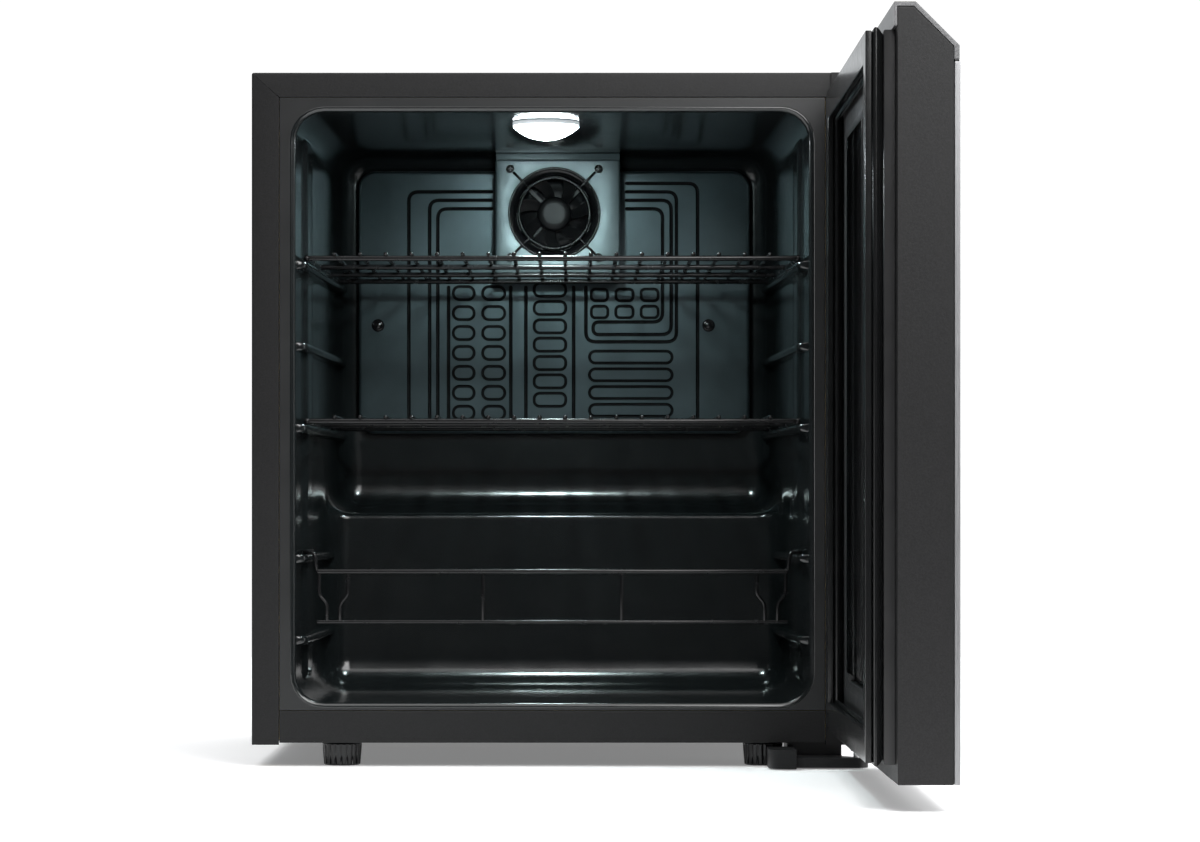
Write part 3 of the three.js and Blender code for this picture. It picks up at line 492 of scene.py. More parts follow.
PAINT = powder_coat("charcoal_paint", (0.0098, 0.0098, 0.0102))
CAP_PAINT = powder_coat("door_cap_paint", (0.085, 0.085, 0.088), 0.34, 0.5)
LINER = moulded("black_liner", (0.008, 0.0095, 0.010), 0.17, 9.0, 0.006, 60, gloss=0.02, IOR=1.56)
SATIN = moulded("satin_liner", (0.014, 0.0145, 0.015), 0.42, 5.0, 0.01, 80, gloss=0.04, specular=0.38)
TRIM = moulded("satin_trim", (0.028, 0.028, 0.0288), 0.36, 0.8, 0.01, gloss=0.04, specular=0.42)
BLACK = moulded("black_plastic", (0.006, 0.006, 0.0067), 0.42, 0.7, 0.012, specular=0.28)
# Near-black matte finish for the faces of the plate's sunk grooves: painted shade, so that the channels
# read dark as if shaded.
GROOVE_SHADE = moulded("groove_painted_shade", (0.004, 0.004, 0.0045), 0.6, 1.0, 0.01, specular=0.1)
GLOSS = moulded("black_gloss_plastic", (0.006, 0.006, 0.007), 0.18, 4.0, 0.006, gloss=0.03, specular=0.4)
WIRE = moulded("coated_wire", (0.005, 0.005, 0.0055), 0.24, 3.0, 0.006, 20, specular=0.32)
RUBBER = moulded("seal_rubber", (0.006, 0.0063, 0.0066), 0.2, 0.8, 0.002, 25, gloss=0.03, IOR=1.6)
ENAMEL = moulded("black_enamel", (0.012, 0.012, 0.013), 0.3, 3.0, 0.03, 30, gloss=0.08)
WHITE = moulded("white_plastic", (0.80, 0.84, 0.86), 0.33, 1.0, 0.01, change=0.04)
GALVANISED = galvanised_sheet("galvanised_steel")
FOAM = cell_foam("insulation_foam")
COLD = cold_metal("cold_plate")
SHROUD = moulded("fan_shroud", (0.078, 0.106, 0.114), 0.36, 2.2, 0.012, 30, change=0.06, Metallic=0.35)
PANEL = brushed_steel("brushed_panel", (0.25, 0.25, 0.257), "Z", 0.42, 0.6)
SPACER = brushed_steel("spacer_metal", (0.55, 0.56, 0.57), "Z", 0.3)
OUTER_GLASS = tinted_glass("outer_glass", (0.035, 0.042, 0.045))
INNER_GLASS = tinted_glass("inner_glass", (0.55, 0.60, 0.61))
LENS = lamp_plastic("lamp_lens", 85.0)
LAMP_RIM = lamp_plastic("lamp_rim", 0.45, 0.35)
COPPER_TONES = [(0.35, (0.30, 0.13, 0.07)), (0.6, (0.72, 0.36, 0.21))]
COPPER = stained_metal("copper", COPPER_TONES, (9, 5, 0.7), (0.365, 0.085), 1.5, 0.01)
ZINC_TONES = [(0.3, (0.46, 0.47, 0.49)), (0.7, (0.66, 0.66, 0.66))]
ZINC = stained_metal("zinc", ZINC_TONES, (3, 4, 0.5), (0.3, 0.06), 0.8, 0.008)


# ---- cabinet
CASING_EDGE = 1.6
CASING_SHEET = 1.2
SIDE_FLANGE = 20.0
TOP_FLANGE = 18.0
LIP_CUT = 0.35
SEAM_HALF = 0.6
SEAM_DEPTH = 0.5


def casing_section(back):
    """The wrap's section as (inset, depth) points, from the outer back edge round to the inner one."""
    outer = [(CASING_EDGE - a, CASING_EDGE - b) for a, b in arc(0, 0, CASING_EDGE, 0, 90, 6)]
    lip = [(SIDE_FLANGE - LIP_CUT, 0.0), (SIDE_FLANGE, LIP_CUT), (SIDE_FLANGE, CASING_SHEET)]
    inner = [(CASING_SHEET, CASING_SHEET), (CASING_SHEET, back)]
    return [(0.0, back), (0.0, back - 0.4), *outer, *lip, *inner]


def add_casing():
    """One folded sheet over the sides and top; a fine groove marks each mitre of its front flange."""
    span = Span("outer_casing")
    section = casing_section(span.y1)
    rings = [[(span.x0 + a, y, span.z0) for a, y in section]]
    for side in (-1, 1):
        turn = [mitre_ring(span, section, side, k) for k in range(5)]
        rings += turn if side < 0 else turn[::-1]
    rings.append([(span.x1 - a, y, span.z0) for a, y in section])
    add_piece("casing_wrap", Form().skin(rings), PAINT, ["outer_casing"])


def mitre_ring(span, section, side, k):
    """The k-th of five rings through the upper corner of a side, from the side wall to the top."""
    turn = radians(22.5 * k)
    slope = (TOP_FLANGE - CASING_EDGE) / (SIDE_FLANGE - CASING_EDGE)
    ring = []
    for inset, y in section:
        beyond = max(inset - CASING_EDGE, 0)
        drop = min(inset, CASING_EDGE) + beyond * slope
        wall = max(0.0, 1 - inset / CASING_EDGE) if y != CASING_SHEET else 0.0
        seam = SEAM_HALF * (1, 0.6, 0, 0.6, 1)[k]
        dx = wall * CASING_EDGE * (1 - cos(turn)) + (1 - wall) * (seam if k > 2 else 0)
        dz = wall * CASING_EDGE * (1 - sin(turn)) + (1 - wall) * (seam if k < 2 else 0)
        groove = SEAM_DEPTH * (1 - wall) if k == 2 and y < CASING_SHEET and inset > CASING_EDGE else 0
        x = CASING_HALF - inset - dx
        ring.append((side * x, y + groove, span.z1 - drop - dz))
    return ring


CAVITY_HALF, CAVITY_BOTTOM, CAVITY_TOP, CAVITY_BACK = 188.0, 47.0, 479.0, 395.0
CAVITY_CORNER = 21.0
CAVITY_NARROWING = 10.0
REAR_ROUND = 24.0
STEP_FRONT, STEP_TOP, STEP_ROUND = 265.0, 185.0, 5.0
LIP_ROUND = 4.0
LINER_WALL = 2.0


def drafted(x, y):
    """The cavity narrows towards its back."""
    return x * (1 - CAVITY_NARROWING / CAVITY_HALF / CAVITY_BACK * max(0.0, y))


def cavity_profile(inset):
    """The cavity's section seen from the side, from its front floor edge back, up and forward again."""
    front = GAP + LIP_ROUND
    hollow, ridge = REAR_ROUND - inset, STEP_ROUND + inset
    floor = arc(STEP_FRONT - REAR_ROUND, CAVITY_BOTTOM + REAR_ROUND, hollow, -90, 0, 8)
    step = arc(STEP_FRONT + STEP_ROUND, STEP_TOP - STEP_ROUND, ridge, 180, 90, 8)
    back = arc(CAVITY_BACK - REAR_ROUND, STEP_TOP + REAR_ROUND, hollow, -90, 0, 8)
    ceiling = arc(CAVITY_BACK - REAR_ROUND, CAVITY_TOP - REAR_ROUND, hollow, 0, 90, 8)
    return [(front, CAVITY_BOTTOM + inset), *floor, *step, *back, *ceiling, (front, CAVITY_TOP - inset)]


def flange_point(side, upper, turn):
    """Where the ray of a corner's turn, in degrees from upright, meets the liner flange's outer edge."""
    edge = CASING_HALF - SIDE_FLANGE - GAP
    top = CASING_HIGH.z / MM - TOP_FLANGE - GAP
    bottom = Span("inner_liner").z0
    centre_x = CAVITY_HALF - CAVITY_CORNER
    centre_z = CAVITY_TOP - CAVITY_CORNER if upper else CAVITY_BOTTOM + CAVITY_CORNER
    edge_z = top if upper else bottom
    if turn <= 45:
        return side * (centre_x + (edge - centre_x) * turn / 45), edge_z
    return side * edge, edge_z + (centre_z - edge_z) * (turn - 45) / 45


def add_liner():
    """One vacuum-formed skin: cavity walls, the step over the compressor, and a rolled front flange."""
    form = Form()
    turns = [(-1, t) for t in range(90, -1, -15)] + [(1, t) for t in range(0, 91, 15)]
    rings = []
    for side, turn in turns:
        inset = CAVITY_CORNER * (1 - cos(radians(turn)))
        x = side * (CAVITY_HALF - CAVITY_CORNER * (1 - sin(radians(turn))))
        rings.append([(drafted(x, y), y, z) for y, z in cavity_profile(inset)])
    form.skin(rings, loop=False)
    loop = [(side, 0, t) for side, t in turns] + [(side, 1, t) for side, t in reversed(turns)]
    rolled = [[lip_point(*corner, roll) for corner in loop] for roll in range(0, 91, 15)]
    form.skin(rolled, ends=False)
    add_shell("liner_shell", form)
    add_flange([(x, GAP, z) for x, _, z in rolled[-1]], [flange_point(*corner) for corner in loop])


def add_flange(inner, outer):
    """The liner's flat front border, with a rounded outer edge."""
    front = [(x, GAP, z) for x, z in outer]
    rear = [(x, GAP + LINER_WALL, z) for x, z in outer]
    back = [(x, GAP + LINER_WALL, z) for x, _, z in inner]
    form = Form().skin([inner, front, rear, back], closed=True)
    add_piece("liner_flange", form, SATIN, bevel=0.35)


def lip_point(side, upper, turn, roll):
    """A point of the rolled lip between cavity wall and flange."""
    t, r = radians(turn), radians(roll)
    reach = CAVITY_CORNER + LIP_ROUND * (1 - cos(r))
    x = side * (CAVITY_HALF - CAVITY_CORNER + reach * sin(t))
    centre_z = CAVITY_TOP - CAVITY_CORNER if upper else CAVITY_BOTTOM + CAVITY_CORNER
    z = centre_z + (1 if upper else -1) * reach * cos(t)
    y = GAP + LIP_ROUND * (1 - sin(r))
    return drafted(x, y), y, z


def add_shell(name, form):
    """An open skin that Solidify thickens away from the cavity."""
    piece = add_piece(name, form, LINER, ["inner_liner"], sharp=30)
    b = bmesh.new()
    b.from_mesh(piece.data)
    bmesh.ops.remove_doubles(b, verts=b.verts, dist=0.001 * MM)
    bmesh.ops.recalc_face_normals(b, faces=b.faces)
    rear = max(b.faces, key=lambda f: f.calc_center_median().y)
    if rear.normal.y > 0:
        bmesh.ops.reverse_faces(b, faces=b.faces)
    b.to_mesh(piece.data)
    b.free()
    smooth(piece.data, 30)
    wall = piece.modifiers.new("wall", "SOLIDIFY")
    wall.thickness = (LINER_WALL - 0.1) * MM
    wall.offset = -1


LEDGE_TOPS = (95, 155, 251, 311, 371)
LEDGE_REACH, LEDGE_THICK, LEDGE_NOSE, LEDGE_FRONT, LEDGE_BACK = 8.0, 6.0, 2.0, 12.0, 384.0
PILASTER = {"front": 50.0, "back": 124.0, "rise": 4.0, "bottom": 60.0, "top": 466.0}
PILASTER_FLANK, PILASTER_REAR_FLANK, PILASTER_FADE = 16.0, 24.0, 12.0


def ledge_rings(side, top):
    """A shelf support that swells out of the side wall, with a round nose and rounded edges."""
    back = STEP_FRONT - 1 if top < STEP_TOP else LEDGE_BACK
    swell = [radians(t) for t in (6, 20, 36, 54, 72, 90)]
    stations = [(LEDGE_FRONT + LEDGE_REACH * (1 - cos(t)), sin(t)) for t in swell]
    half = LEDGE_THICK / 2
    rings = []
    for y, share in [*stations, (back, 1.0)]:
        root = LEDGE_REACH * share - LEDGE_NOSE
        nose = [(root + LEDGE_NOSE * cos(t), sin(t)) for t in radians_between(-90, 90, 6)]
        wall = side * drafted(CAVITY_HALF, y)
        outline = [(-1.0, -1.0), *nose, (-1.0, 1.0)]
        rings.append([(wall - side * out, y, top - half + up * half) for out, up in outline])
    return rings


def pilaster_rings(side):
    """A broad upright rib behind the shelves' front ends, faded out at its top and foot."""
    p = PILASTER
    swell = [(i / 8, (1 - cos(pi * i / 8)) / 2) for i in range(9)]
    outline = [(p["front"] + PILASTER_FLANK * share, rise) for share, rise in swell]
    outline += [(p["back"] - PILASTER_REAR_FLANK * share, rise) for share, rise in reversed(swell)]
    fade = [(PILASTER_FADE * (1 - cos(t)), sin(t)) for t in quarter(5)]
    heights = [(p["bottom"] + up, share) for up, share in fade]
    heights += [(p["top"] - down, share) for down, share in reversed(fade)]
    rings = []
    for z, share in heights:
        lifts = [(y, p["rise"] * rise * share - 0.02) for y, rise in outline]
        lifts += [(p["back"], -1.0), (p["front"], -1.0)]
        rings.append([(side * (drafted(CAVITY_HALF, y) - lift), y, z) for y, lift in lifts])
    return rings


def add_wall_forms():
    form = Form()
    for side in (-1, 1):
        form.skin(pilaster_rings(side))
        for top in LEDGE_TOPS:
            form.skin(ledge_rings(side, top))
    add_piece("liner_supports", form, LINER, sharp=50)


# ---- cooling inside the cavity
PLATE_EDGE, PLATE_THICK, PLATE_CORNER = 3.0, 2.6, 14
PAD_GROOVE, CHANNEL_GROOVE, GROOVE_DEPTH = 1.35, 1.6, 0.5


def add_evaporator():
    """A roll-bonded plate with a rounded rim, and channels sunk round its pads."""
    span = Span("evaporator_plate")
    levels = [(span.y0 + PLATE_THICK + 1.2, 0.8)]
    levels += [(span.y0 + PLATE_EDGE * (1 - sin(t)), PLATE_EDGE * (1 - cos(t))) for t in quarter(6)]
    plate, grooves = Form(), Form()
    slab(plate, (0, span.z), span.half, span.half_z, PLATE_CORNER, levels)
    for x, z, half_x, half_z, corner in plate_pads():
        outline = rounded_outline(half_x, half_z, corner)
        path = [(x + a, span.y0 + GROOVE_DEPTH, z + b) for a, b in outline]
        tube(grooves, path, PAD_GROOVE, closed=True)
    for route in plate_channels():
        path = [(x, span.y0 + GROOVE_DEPTH, z) for x, z in route]
        tube(grooves, path, CHANNEL_GROOVE, bend=8)
    piece = add_piece("cold_plate", plate, COLD, ["evaporator_plate"], sharp=30)
    # The cut faces of the grooves take the near-black finish, which paints shade into the channels.
    carve(piece, grooves, GROOVE_SHADE)


def carve(piece, form, material):
    """Cuts a form out of a piece, whose cut faces take the material."""
    mesh = make_mesh("cutter", form, place)
    mesh.materials.append(material)
    smooth(mesh, 60)
    cutter = link_object("cutter", mesh)
    cut = piece.modifiers.new("cut", "BOOLEAN")
    cut.object = cutter
    cut.operation = "DIFFERENCE"
    cut.solver = "EXACT"
    cut.use_self = True
    cut.material_mode = "TRANSFER"
    bpy.context.view_layer.update()
    result = bpy.data.meshes.new_from_object(piece.evaluated_get(bpy.context.evaluated_depsgraph_get()))
    piece.modifiers.remove(cut)
    piece.data = result
    bpy.data.objects.remove(cutter)
    smooth(piece.data, 35)


def plate_pads():
    """Centre, half sizes and corner radius of the groove round each pad."""
    pads = []
    for row in range(7):
        z = 365.6 - 16.4 * row
        pads += [(-74.5, z, 8.6, 5.4, 5.2), (-49.8, z, 9.1, 5.4, 5.2)]
        pads.append((-3.5, 368.5 - 15.1 * row, 13.0, 5.4, 4.6))
    for row in range(2):
        z = 364.2 - 14.1 * row
        pads += [(37.3, z, 6.8, 4.8, 3.4), (57.8, z, 7.1, 4.8, 3.4), (78.5, z, 7.0, 4.8, 3.4)]
    for row in range(4):
        pads.append((63.0, 313.0 - 14.6 * row, 34.0, 4.9, 4.8))
    return pads


def plate_channels():
    """Routes of the long channels as (x, z) points."""
    low, under_cover = 258, 372
    routes = [[(x, low), (x, under_cover)] for x in (-86.9, -35.7, -23.3, 16.0)]
    routes += [[(x, low), (x, top), (-50, top)] for x, top in ((-119.6, 449), (-102.5, 442), (-95.8, 435))]
    routes.append([(26.1, under_cover), (26.1, 325.6), (100.6, 325.6), (100.6, 449), (58, 449)])
    band = [(58, 435), (89.2, 435), (89.2, 341.9), (32, 341.9), (32, 331.5), (96.3, 331.5)]
    routes.append([*band, (96.3, 442), (58, 442)])
    routes.append([(118, low), (118, 456), (58, 456)])
    return routes


def add_fan_cover():
    """A folded square cover with a round inlet and a rolled edge round it, and a tab up to the ceiling."""
    span, guard = Span("fan_cover"), Span("fan_guard")
    edge, roll, wall, hole = 1.6, 1.5, 1.2, 38.0
    front, inside, top = span.y0, span.y0 + 2.6, span.z1 - 2.8
    middle, half_z = (span.z0 + top) / 2, (top - span.z0) / 2

    def square(inset, y):
        outline = rounded_outline(span.half - inset, half_z - inset, max(2.4 - inset, 0.3), 15)
        return [(span.x + a, y, middle + b) for a, b in outline]

    def circle(radius, y):
        return ring_path(guard.x, y, guard.z, radius, 64, start=0.5)

    rings = [square(0, span.y1)]
    rings += [square(edge * (1 - cos(t)), front + edge * (1 - sin(t))) for t in quarter(5)]
    rings += [circle(hole - roll * sin(t), front + roll * (1 - cos(t))) for t in quarter(4)]
    rings += [circle(hole - roll, inside), circle(hole + 1, inside)]
    rings += [square(wall + 2, inside), square(wall, span.y1)]
    form = Form().skin(rings, closed=True)
    tab = (span.x0 + 0.4, span.x1 - 0.4, front + 1.5, front + 2.7, top - 9, CAVITY_TOP - 0.4)
    soft_block(form, *tab, corner=0.8, edge=0.3)
    add_piece("fan_shroud", form, SHROUD, ["fan_cover"], sharp=40)


def add_fan_inlet():
    """The fan's own bell mouth, which shows as a dark ring inside the cover's hole."""
    span, guard = Span("fan_frame"), Span("fan_guard")
    sheet = 0.9
    bell = [(37.0 - 6.5 * sin(t), 6.0 * (1 - cos(t)) - sheet) for t in quarter(8)]
    back = [(r + sheet, h + sheet) for r, h in reversed(bell)]
    rings = [ring_path(guard.x, span.y0 + h, guard.z, r, 72, start=0.5) for r, h in bell + back]
    form = Form().skin(rings, closed=True)
    rim = [(37.5, 0), (38, 0.3), (38, 1.2), (37.5, 1.5)]
    lathe(form, rim, (guard.x, span.y1 + 0.2, guard.z), axis="Y", sides=72)
    add_piece("fan_inlet_ring", form, GLOSS, sharp=50)


def add_fan_guard():
    """Two wire rings joined by four arms that reach out to the screws."""
    span = Span("fan_guard")
    wire, outer_ring, inner_ring, arm_end = 1.1, 36.7, 28.8, 47.5
    form = Form()
    for radius in (outer_ring, inner_ring):
        tube(form, ring_path(span.x, span.y, span.z, radius, 96), wire, sides=10, closed=True)
    for turn in radians_between(45, 315, 3):
        reach = (inner_ring - 0.6, arm_end)
        arm = [(span.x + r * cos(turn), span.y - 0.15, span.z + r * sin(turn)) for r in reach]
        tube(form, arm, wire, sides=10)
    add_piece("fan_guard_wires", form, WIRE, ["fan_guard"])


def add_fan_screws():
    """One screw at the end of each of the guard's arms."""
    guard = Span("fan_guard")
    reach, head, height = 50.9, 3.3, 2.4
    form = Form()
    for turn in radians_between(45, 315, 3):
        centre = (guard.x + reach * cos(turn), guard.y0 - 0.6, guard.z + reach * sin(turn))
        cross_head(form, centre, head, height, -1)
    add_piece("fan_screws", form, ENAMEL, sharp=30)


def cross_head(form, centre, radius, height, facing):
    """A pan-head screw seen along Y, whose head faces -Y or +Y, with a cross recess as four notches."""
    x, y, z = centre
    sides = 32
    rings = []
    for share, rise in [(1, 0), (1, 0.35), (0.93, 0.65), (0.78, 0.9), (0.62, 1), (0.1, 1)]:
        reach = radius * share
        ring = []
        for i in range(sides):
            t = 2 * pi * i / sides
            sunk = 0.5 if share < 0.7 and i % 8 == 0 else 0
            ring.append((x + reach * cos(t), y + facing * height * (rise - sunk), z + reach * sin(t)))
        rings.append(ring)
    form.skin(rings)


def add_impeller():
    """Seven swept blades round a cup-shaped hub."""
    span = Span("fan_impeller")
    guard = Span("fan_guard")
    x, z, front = guard.x, guard.z, span.y0
    form = Form()
    hub = [(1, 0.4), (8, 0.0), (12, 0.5), (13.6, 1.8), (14, 3.6), (14, 12), (12.6, 12), (12.6, 3), (1, 3)]
    lathe(form, hub, (x, front, z), axis="Y", sides=56)
    blades = 7
    for blade in range(blades):
        form.skin(blade_rings(x, front + 6, z, 2 * pi * blade / blades))
    add_piece("fan_blades", form, BLACK, ["fan_impeller"], "fan_rotor", sharp=45)


BLADE_ROOT, BLADE_REACH, BLADE_STEPS = 13.2, 22.3, 8


def blade_rings(x, y, z, start):
    """A blade as sections from the hub outwards; it widens, flattens and sweeps forward."""
    rings = []
    for i in range(BLADE_STEPS + 1):
        share = i / BLADE_STEPS
        radius = BLADE_ROOT + BLADE_REACH * share
        pitch = radians(46 - 18 * share)
        chord = 10.5 + 4.5 * share - 3.0 * share**6
        sweep = start + 0.38 * share**1.4
        ring = []
        for t in radians_between(0, 330, 11):
            along, thick = chord / 2 * cos(t), 0.75 * sin(t)
            camber = 1.1 * (1 - (2 * along / chord) ** 2)
            lift = thick + camber
            across = along * cos(pitch) - lift * sin(pitch)
            depth = along * sin(pitch) + lift * cos(pitch)
            angle = sweep + across / radius
            ring.append((x + radius * cos(angle), y + depth * 0.62, z + radius * sin(angle)))
        rings.append(ring)
    return rings


def add_plate_plugs():
    """Black retaining plugs of the evaporator plate, each in a shallow dished washer."""
    washer = [(5.0, 0.3), (5.2, -0.3), (4.6, -1.1), (3.5, -1.3), (3.1, -0.7), (2.5, -0.7)]
    plug = [(2.2, -1.9), (0.4, -2.4)]
    front = Span("evaporator_plate").y0
    for side in ("left", "right"):
        node = "evaporator_screw_" + side
        add_turned("plate_plug_" + side, node, washer + plug, GLOSS, 40, front, "Y", sharp=50)


# ---- lamp
def add_lamp():
    """A white rim with rounded edges round a shallow dome, which is part of a ball."""
    base, lens = Span("lamp_base"), Span("lamp_lens")
    side = [(23.2, 0), (24.7, -0.1), (25, -0.5), (25, -2.4)]
    face = [(24.6, -3.0), (23.4, -3.2), (23.0, -3.3), (2, -3.3)]
    add_turned("lamp_rim", "lamp_base", side + face, LAMP_RIM, 72, base.z1, sharp=38)
    radius, drop = base.half - 0.5, lens.height
    flat = [(radius * 0.6, 0), (radius - 0.4, 0), (radius, -0.4)]
    ball = (radius**2 + drop**2) / (2 * drop)
    turns = radians_between(degrees(asin(radius / ball)) - 1, 1, 12)
    bowl = [(ball * sin(t), ball * (1 - cos(t)) - drop) for t in turns]
    add_turned("lamp_dome", "lamp_lens", flat + bowl, LENS, 72, lens.z1)


# ---- wire goods
SHELF_HALF, SHELF_REAR_HALF = 181.0, 176.5
SHELF_RAIL, SHELF_SIDE_RAIL, SHELF_WIRE = 2.0, 2.5, 1.55
SHELF_WIRES, SHELF_PITCH = 18, 18.9
SHELF_CROSS_RAILS = (22, 140, 250, 350)


def add_shelf(node):
    """A grid of coated wires: four cross rails, two side rails and the wires welded on top."""
    z = Span(node).z0 + SHELF_RAIL
    first, last = SHELF_CROSS_RAILS[0], SHELF_CROSS_RAILS[-1]
    form = Form()
    for y in SHELF_CROSS_RAILS:
        half = SHELF_HALF + (SHELF_REAR_HALF - SHELF_HALF) * (y - first) / (last - first)
        tube(form, [(-half, y, z), (half, y, z)], SHELF_RAIL, sides=16)
    for side in (-1, 1):
        ends = [(side * SHELF_HALF, first - 2, z), (side * SHELF_REAR_HALF, last + 2, z)]
        tube(form, ends, SHELF_SIDE_RAIL, sides=18)
    top = z + SHELF_RAIL + SHELF_WIRE - 0.5
    for i in range(SHELF_WIRES):
        x = SHELF_PITCH * (i - (SHELF_WIRES - 1) / 2)
        tube(form, [(x, first - 2.8, top), (x, last + 2.4, top)], SHELF_WIRE)
    add_piece(node + "_wires", form, WIRE, [node], node + "_body")


def add_shelves():
    add_shelf("upper_shelf")
    add_shelf("lower_shelf")


GUARD = {"y": 16, "half": 174, "top": 142.6, "bottom": 105.5, "wire": 1.4, "post": 51}
GUARD_RAILS = {"top": 1.95, "bottom": 1.5}
GOBLET_LEGS = ((171.5, 165.7), (150.4, 156.2))
GOBLET_SHOULDER, GOBLET_STEM = 125.6, 118.9
GUARD_ARM = ((175, 0), (183.2, 6), (181.2, 79))
GUARD_ARM_START, GUARD_ARM_HEIGHT = 173, 156.9


def add_bottle_guard():
    """Two rails with goblet-shaped ends, and arms that rest on the side ledges."""
    g = GUARD
    y, top, bottom, wire = g["y"], g["top"], g["bottom"], g["wire"]
    form = Form()
    for edge, radius in GUARD_RAILS.items():
        tube(form, [(-g["half"], y, g[edge]), (g["half"], y, g[edge])], radius, sides=16)
    for side in (-1, 1):
        tube(form, [(side * g["post"], y, top), (side * g["post"], y, bottom)], wire)
        for bowl, stem in GOBLET_LEGS:
            leg = [(bowl, top), (bowl, GOBLET_SHOULDER), (stem, GOBLET_STEM), (stem, bottom)]
            tube(form, [(side * x, y, z) for x, z in leg], wire, bend=3)
        arm = [(side * GUARD_ARM_START, y, top)]
        arm += [(side * x, y + back, GUARD_ARM_HEIGHT) for x, back in GUARD_ARM]
        tube(form, arm, wire, bend=4)
    add_piece("guard_wires", form, WIRE, ["bottle_guard"], "bottle_guard_body")


# ---- feet
FLUTES, FLUTE_DEPTH = 20, 0.06
THREAD_TURNS, THREAD_PITCH = 15, 1.25


def flutes(turn, height):
    """The share of a foot's radius that its flutes leave at a turn."""
    return 1 - FLUTE_DEPTH * (0.5 + 0.5 * cos(FLUTES * turn)) ** 3 if 1.2 < height < 15 else 1


def add_front_feet():
    """Turned levelling feet with fluted skirts, each on a threaded stud."""
    lower = [(11.8, 0), (12.9, 0.3), (13.5, 1.0), (13.55, 1.6)]
    upper = [(14.7, 14.8), (14.8, 15.6), (14.4, 16.6), (13.5, 17), (4.4, 17)]
    thread = [(3.2, 16.9)]
    for turn in range(THREAD_TURNS):
        thread += [(3.9, 17.1 + turn * THREAD_PITCH), (3.3, 17.7 + turn * THREAD_PITCH)]
    for side in ("left", "right"):
        node = "front_foot_" + side
        span = Span(node)
        form = lathe(Form(), lower + upper, (span.x, span.y, 0), sides=200, wave=flutes)
        lathe(form, [*thread, (2.6, span.z1)], (span.x, span.y, 0), sides=24)
        add_piece(node + "_glide", form, GLOSS, [node], node + "_body", sharp=60)


def add_rear_feet():
    """Rubber pads with rounded rims, on a short stud."""
    for side in ("left", "right"):
        node = "rear_foot_" + side
        span = Span(node)
        top, tip = span.z1 - 6, span.z1
        pad = [(11.5, 0), (12.8, 0.3), (13.5, 1.2), (14.1, top - 1.2), (13.6, top - 0.2), (12.8, top)]
        stud = [(3, top), (3, tip - 0.6), (2.4, tip)]
        add_turned(node + "_pad", node, pad + stud, RUBBER, 64, base=0, sharp=50)


# ---- door
LIP_WIDTH, LIP_THICK, LIP_EDGE, LIP_UNDERCUT = 20.0, 4.1, 0.6, 0.6
FOLD_ROOT, FOLD_BULGE = 2.2, 4.2


def add_gasket():
    """The magnetic seal: a flat lip with rounded edges, on one round fold of soft rubber."""
    span = Span("door_gasket", on_door=True)
    face, root = span.y1, span.y0
    back = face - LIP_THICK
    round_edge = [(LIP_EDGE * (1 - sin(t)), face - LIP_EDGE * (1 - cos(t))) for t in quarter(4)]
    outer = [*fold(back, root)[::-1], (LIP_UNDERCUT, back), (0, back + 0.5), *round_edge[::-1]]
    inner = [(LIP_WIDTH - inset, y) for inset, y in reversed(outer)]
    form = frame_sweep(Form(), span, outer + inner)
    add_piece("seal_ring", form, RUBBER, ["door_gasket"], "door", sharp=45)


def fold(start, end):
    """One side of the seal's fold: it stands out past the lip just behind it, then falls back."""
    points = []
    for i in range(15):
        share = i / 14
        inset = FOLD_ROOT - FOLD_BULGE * sin(pi * share**0.65)
        points.append((inset, start + (end - start) * share))
    return points


WINDOW_HALF = Span("door_front_glass", on_door=True).half + GAP


def add_bezel():
    """The inner trim: a flat border that steps down to the glass with rounded edges."""
    span = Span("door_bezel", on_door=True)
    face, root = span.y1, span.y0
    inner = span.half - WINDOW_HALF
    rim = [(0.0, root), (0.0, face - 1.2), (0.35, face - 0.35), (1.2, face)]
    groove = [(2.6, face), (3.0, face - 0.8), (3.4, face)]
    step = [(inner - 5.0, face), (inner - 4.2, face - 0.2), (inner - 0.4, face - 2.2)]
    form = frame_sweep(Form(), span, [*rim, *groove, *step, (inner, face - 2.8), (inner, root)])
    add_piece("inner_trim", form, TRIM, ["door_bezel"], "door", sharp=40)


def add_panel_seam():
    """A dark strip that closes the joint between the cap and the front panel."""
    panel = Span("door_front_panel", on_door=True)
    across = (1 - panel.half, panel.half - 1)
    strip = (panel.y0 + 0.6, panel.y1, panel.z1 + 0.1, panel.z1 + 1.4)
    form = soft_block(Form(), *across, *strip, corner=0.5, edge=0.3, axis="X")
    add_piece("panel_seam", form, RUBBER, body="door")


def add_knuckle():
    span = Span("door_knuckle", on_door=True)
    top = span.height
    profile = [(2.6, 0.0), (4.9, 0.0), (5.4, 0.6), (5.4, top - 0.6), (4.9, top), (2.6, top)]
    rings = [ring_path(AXIS_X, AXIS_Y, span.z0 + h, r, 48, start=0.5, axis="Z") for r, h in profile]
    form = Form().skin(rings, closed=True)
    add_piece("hinge_barrel", form, PAINT, ["door_knuckle"], "door")


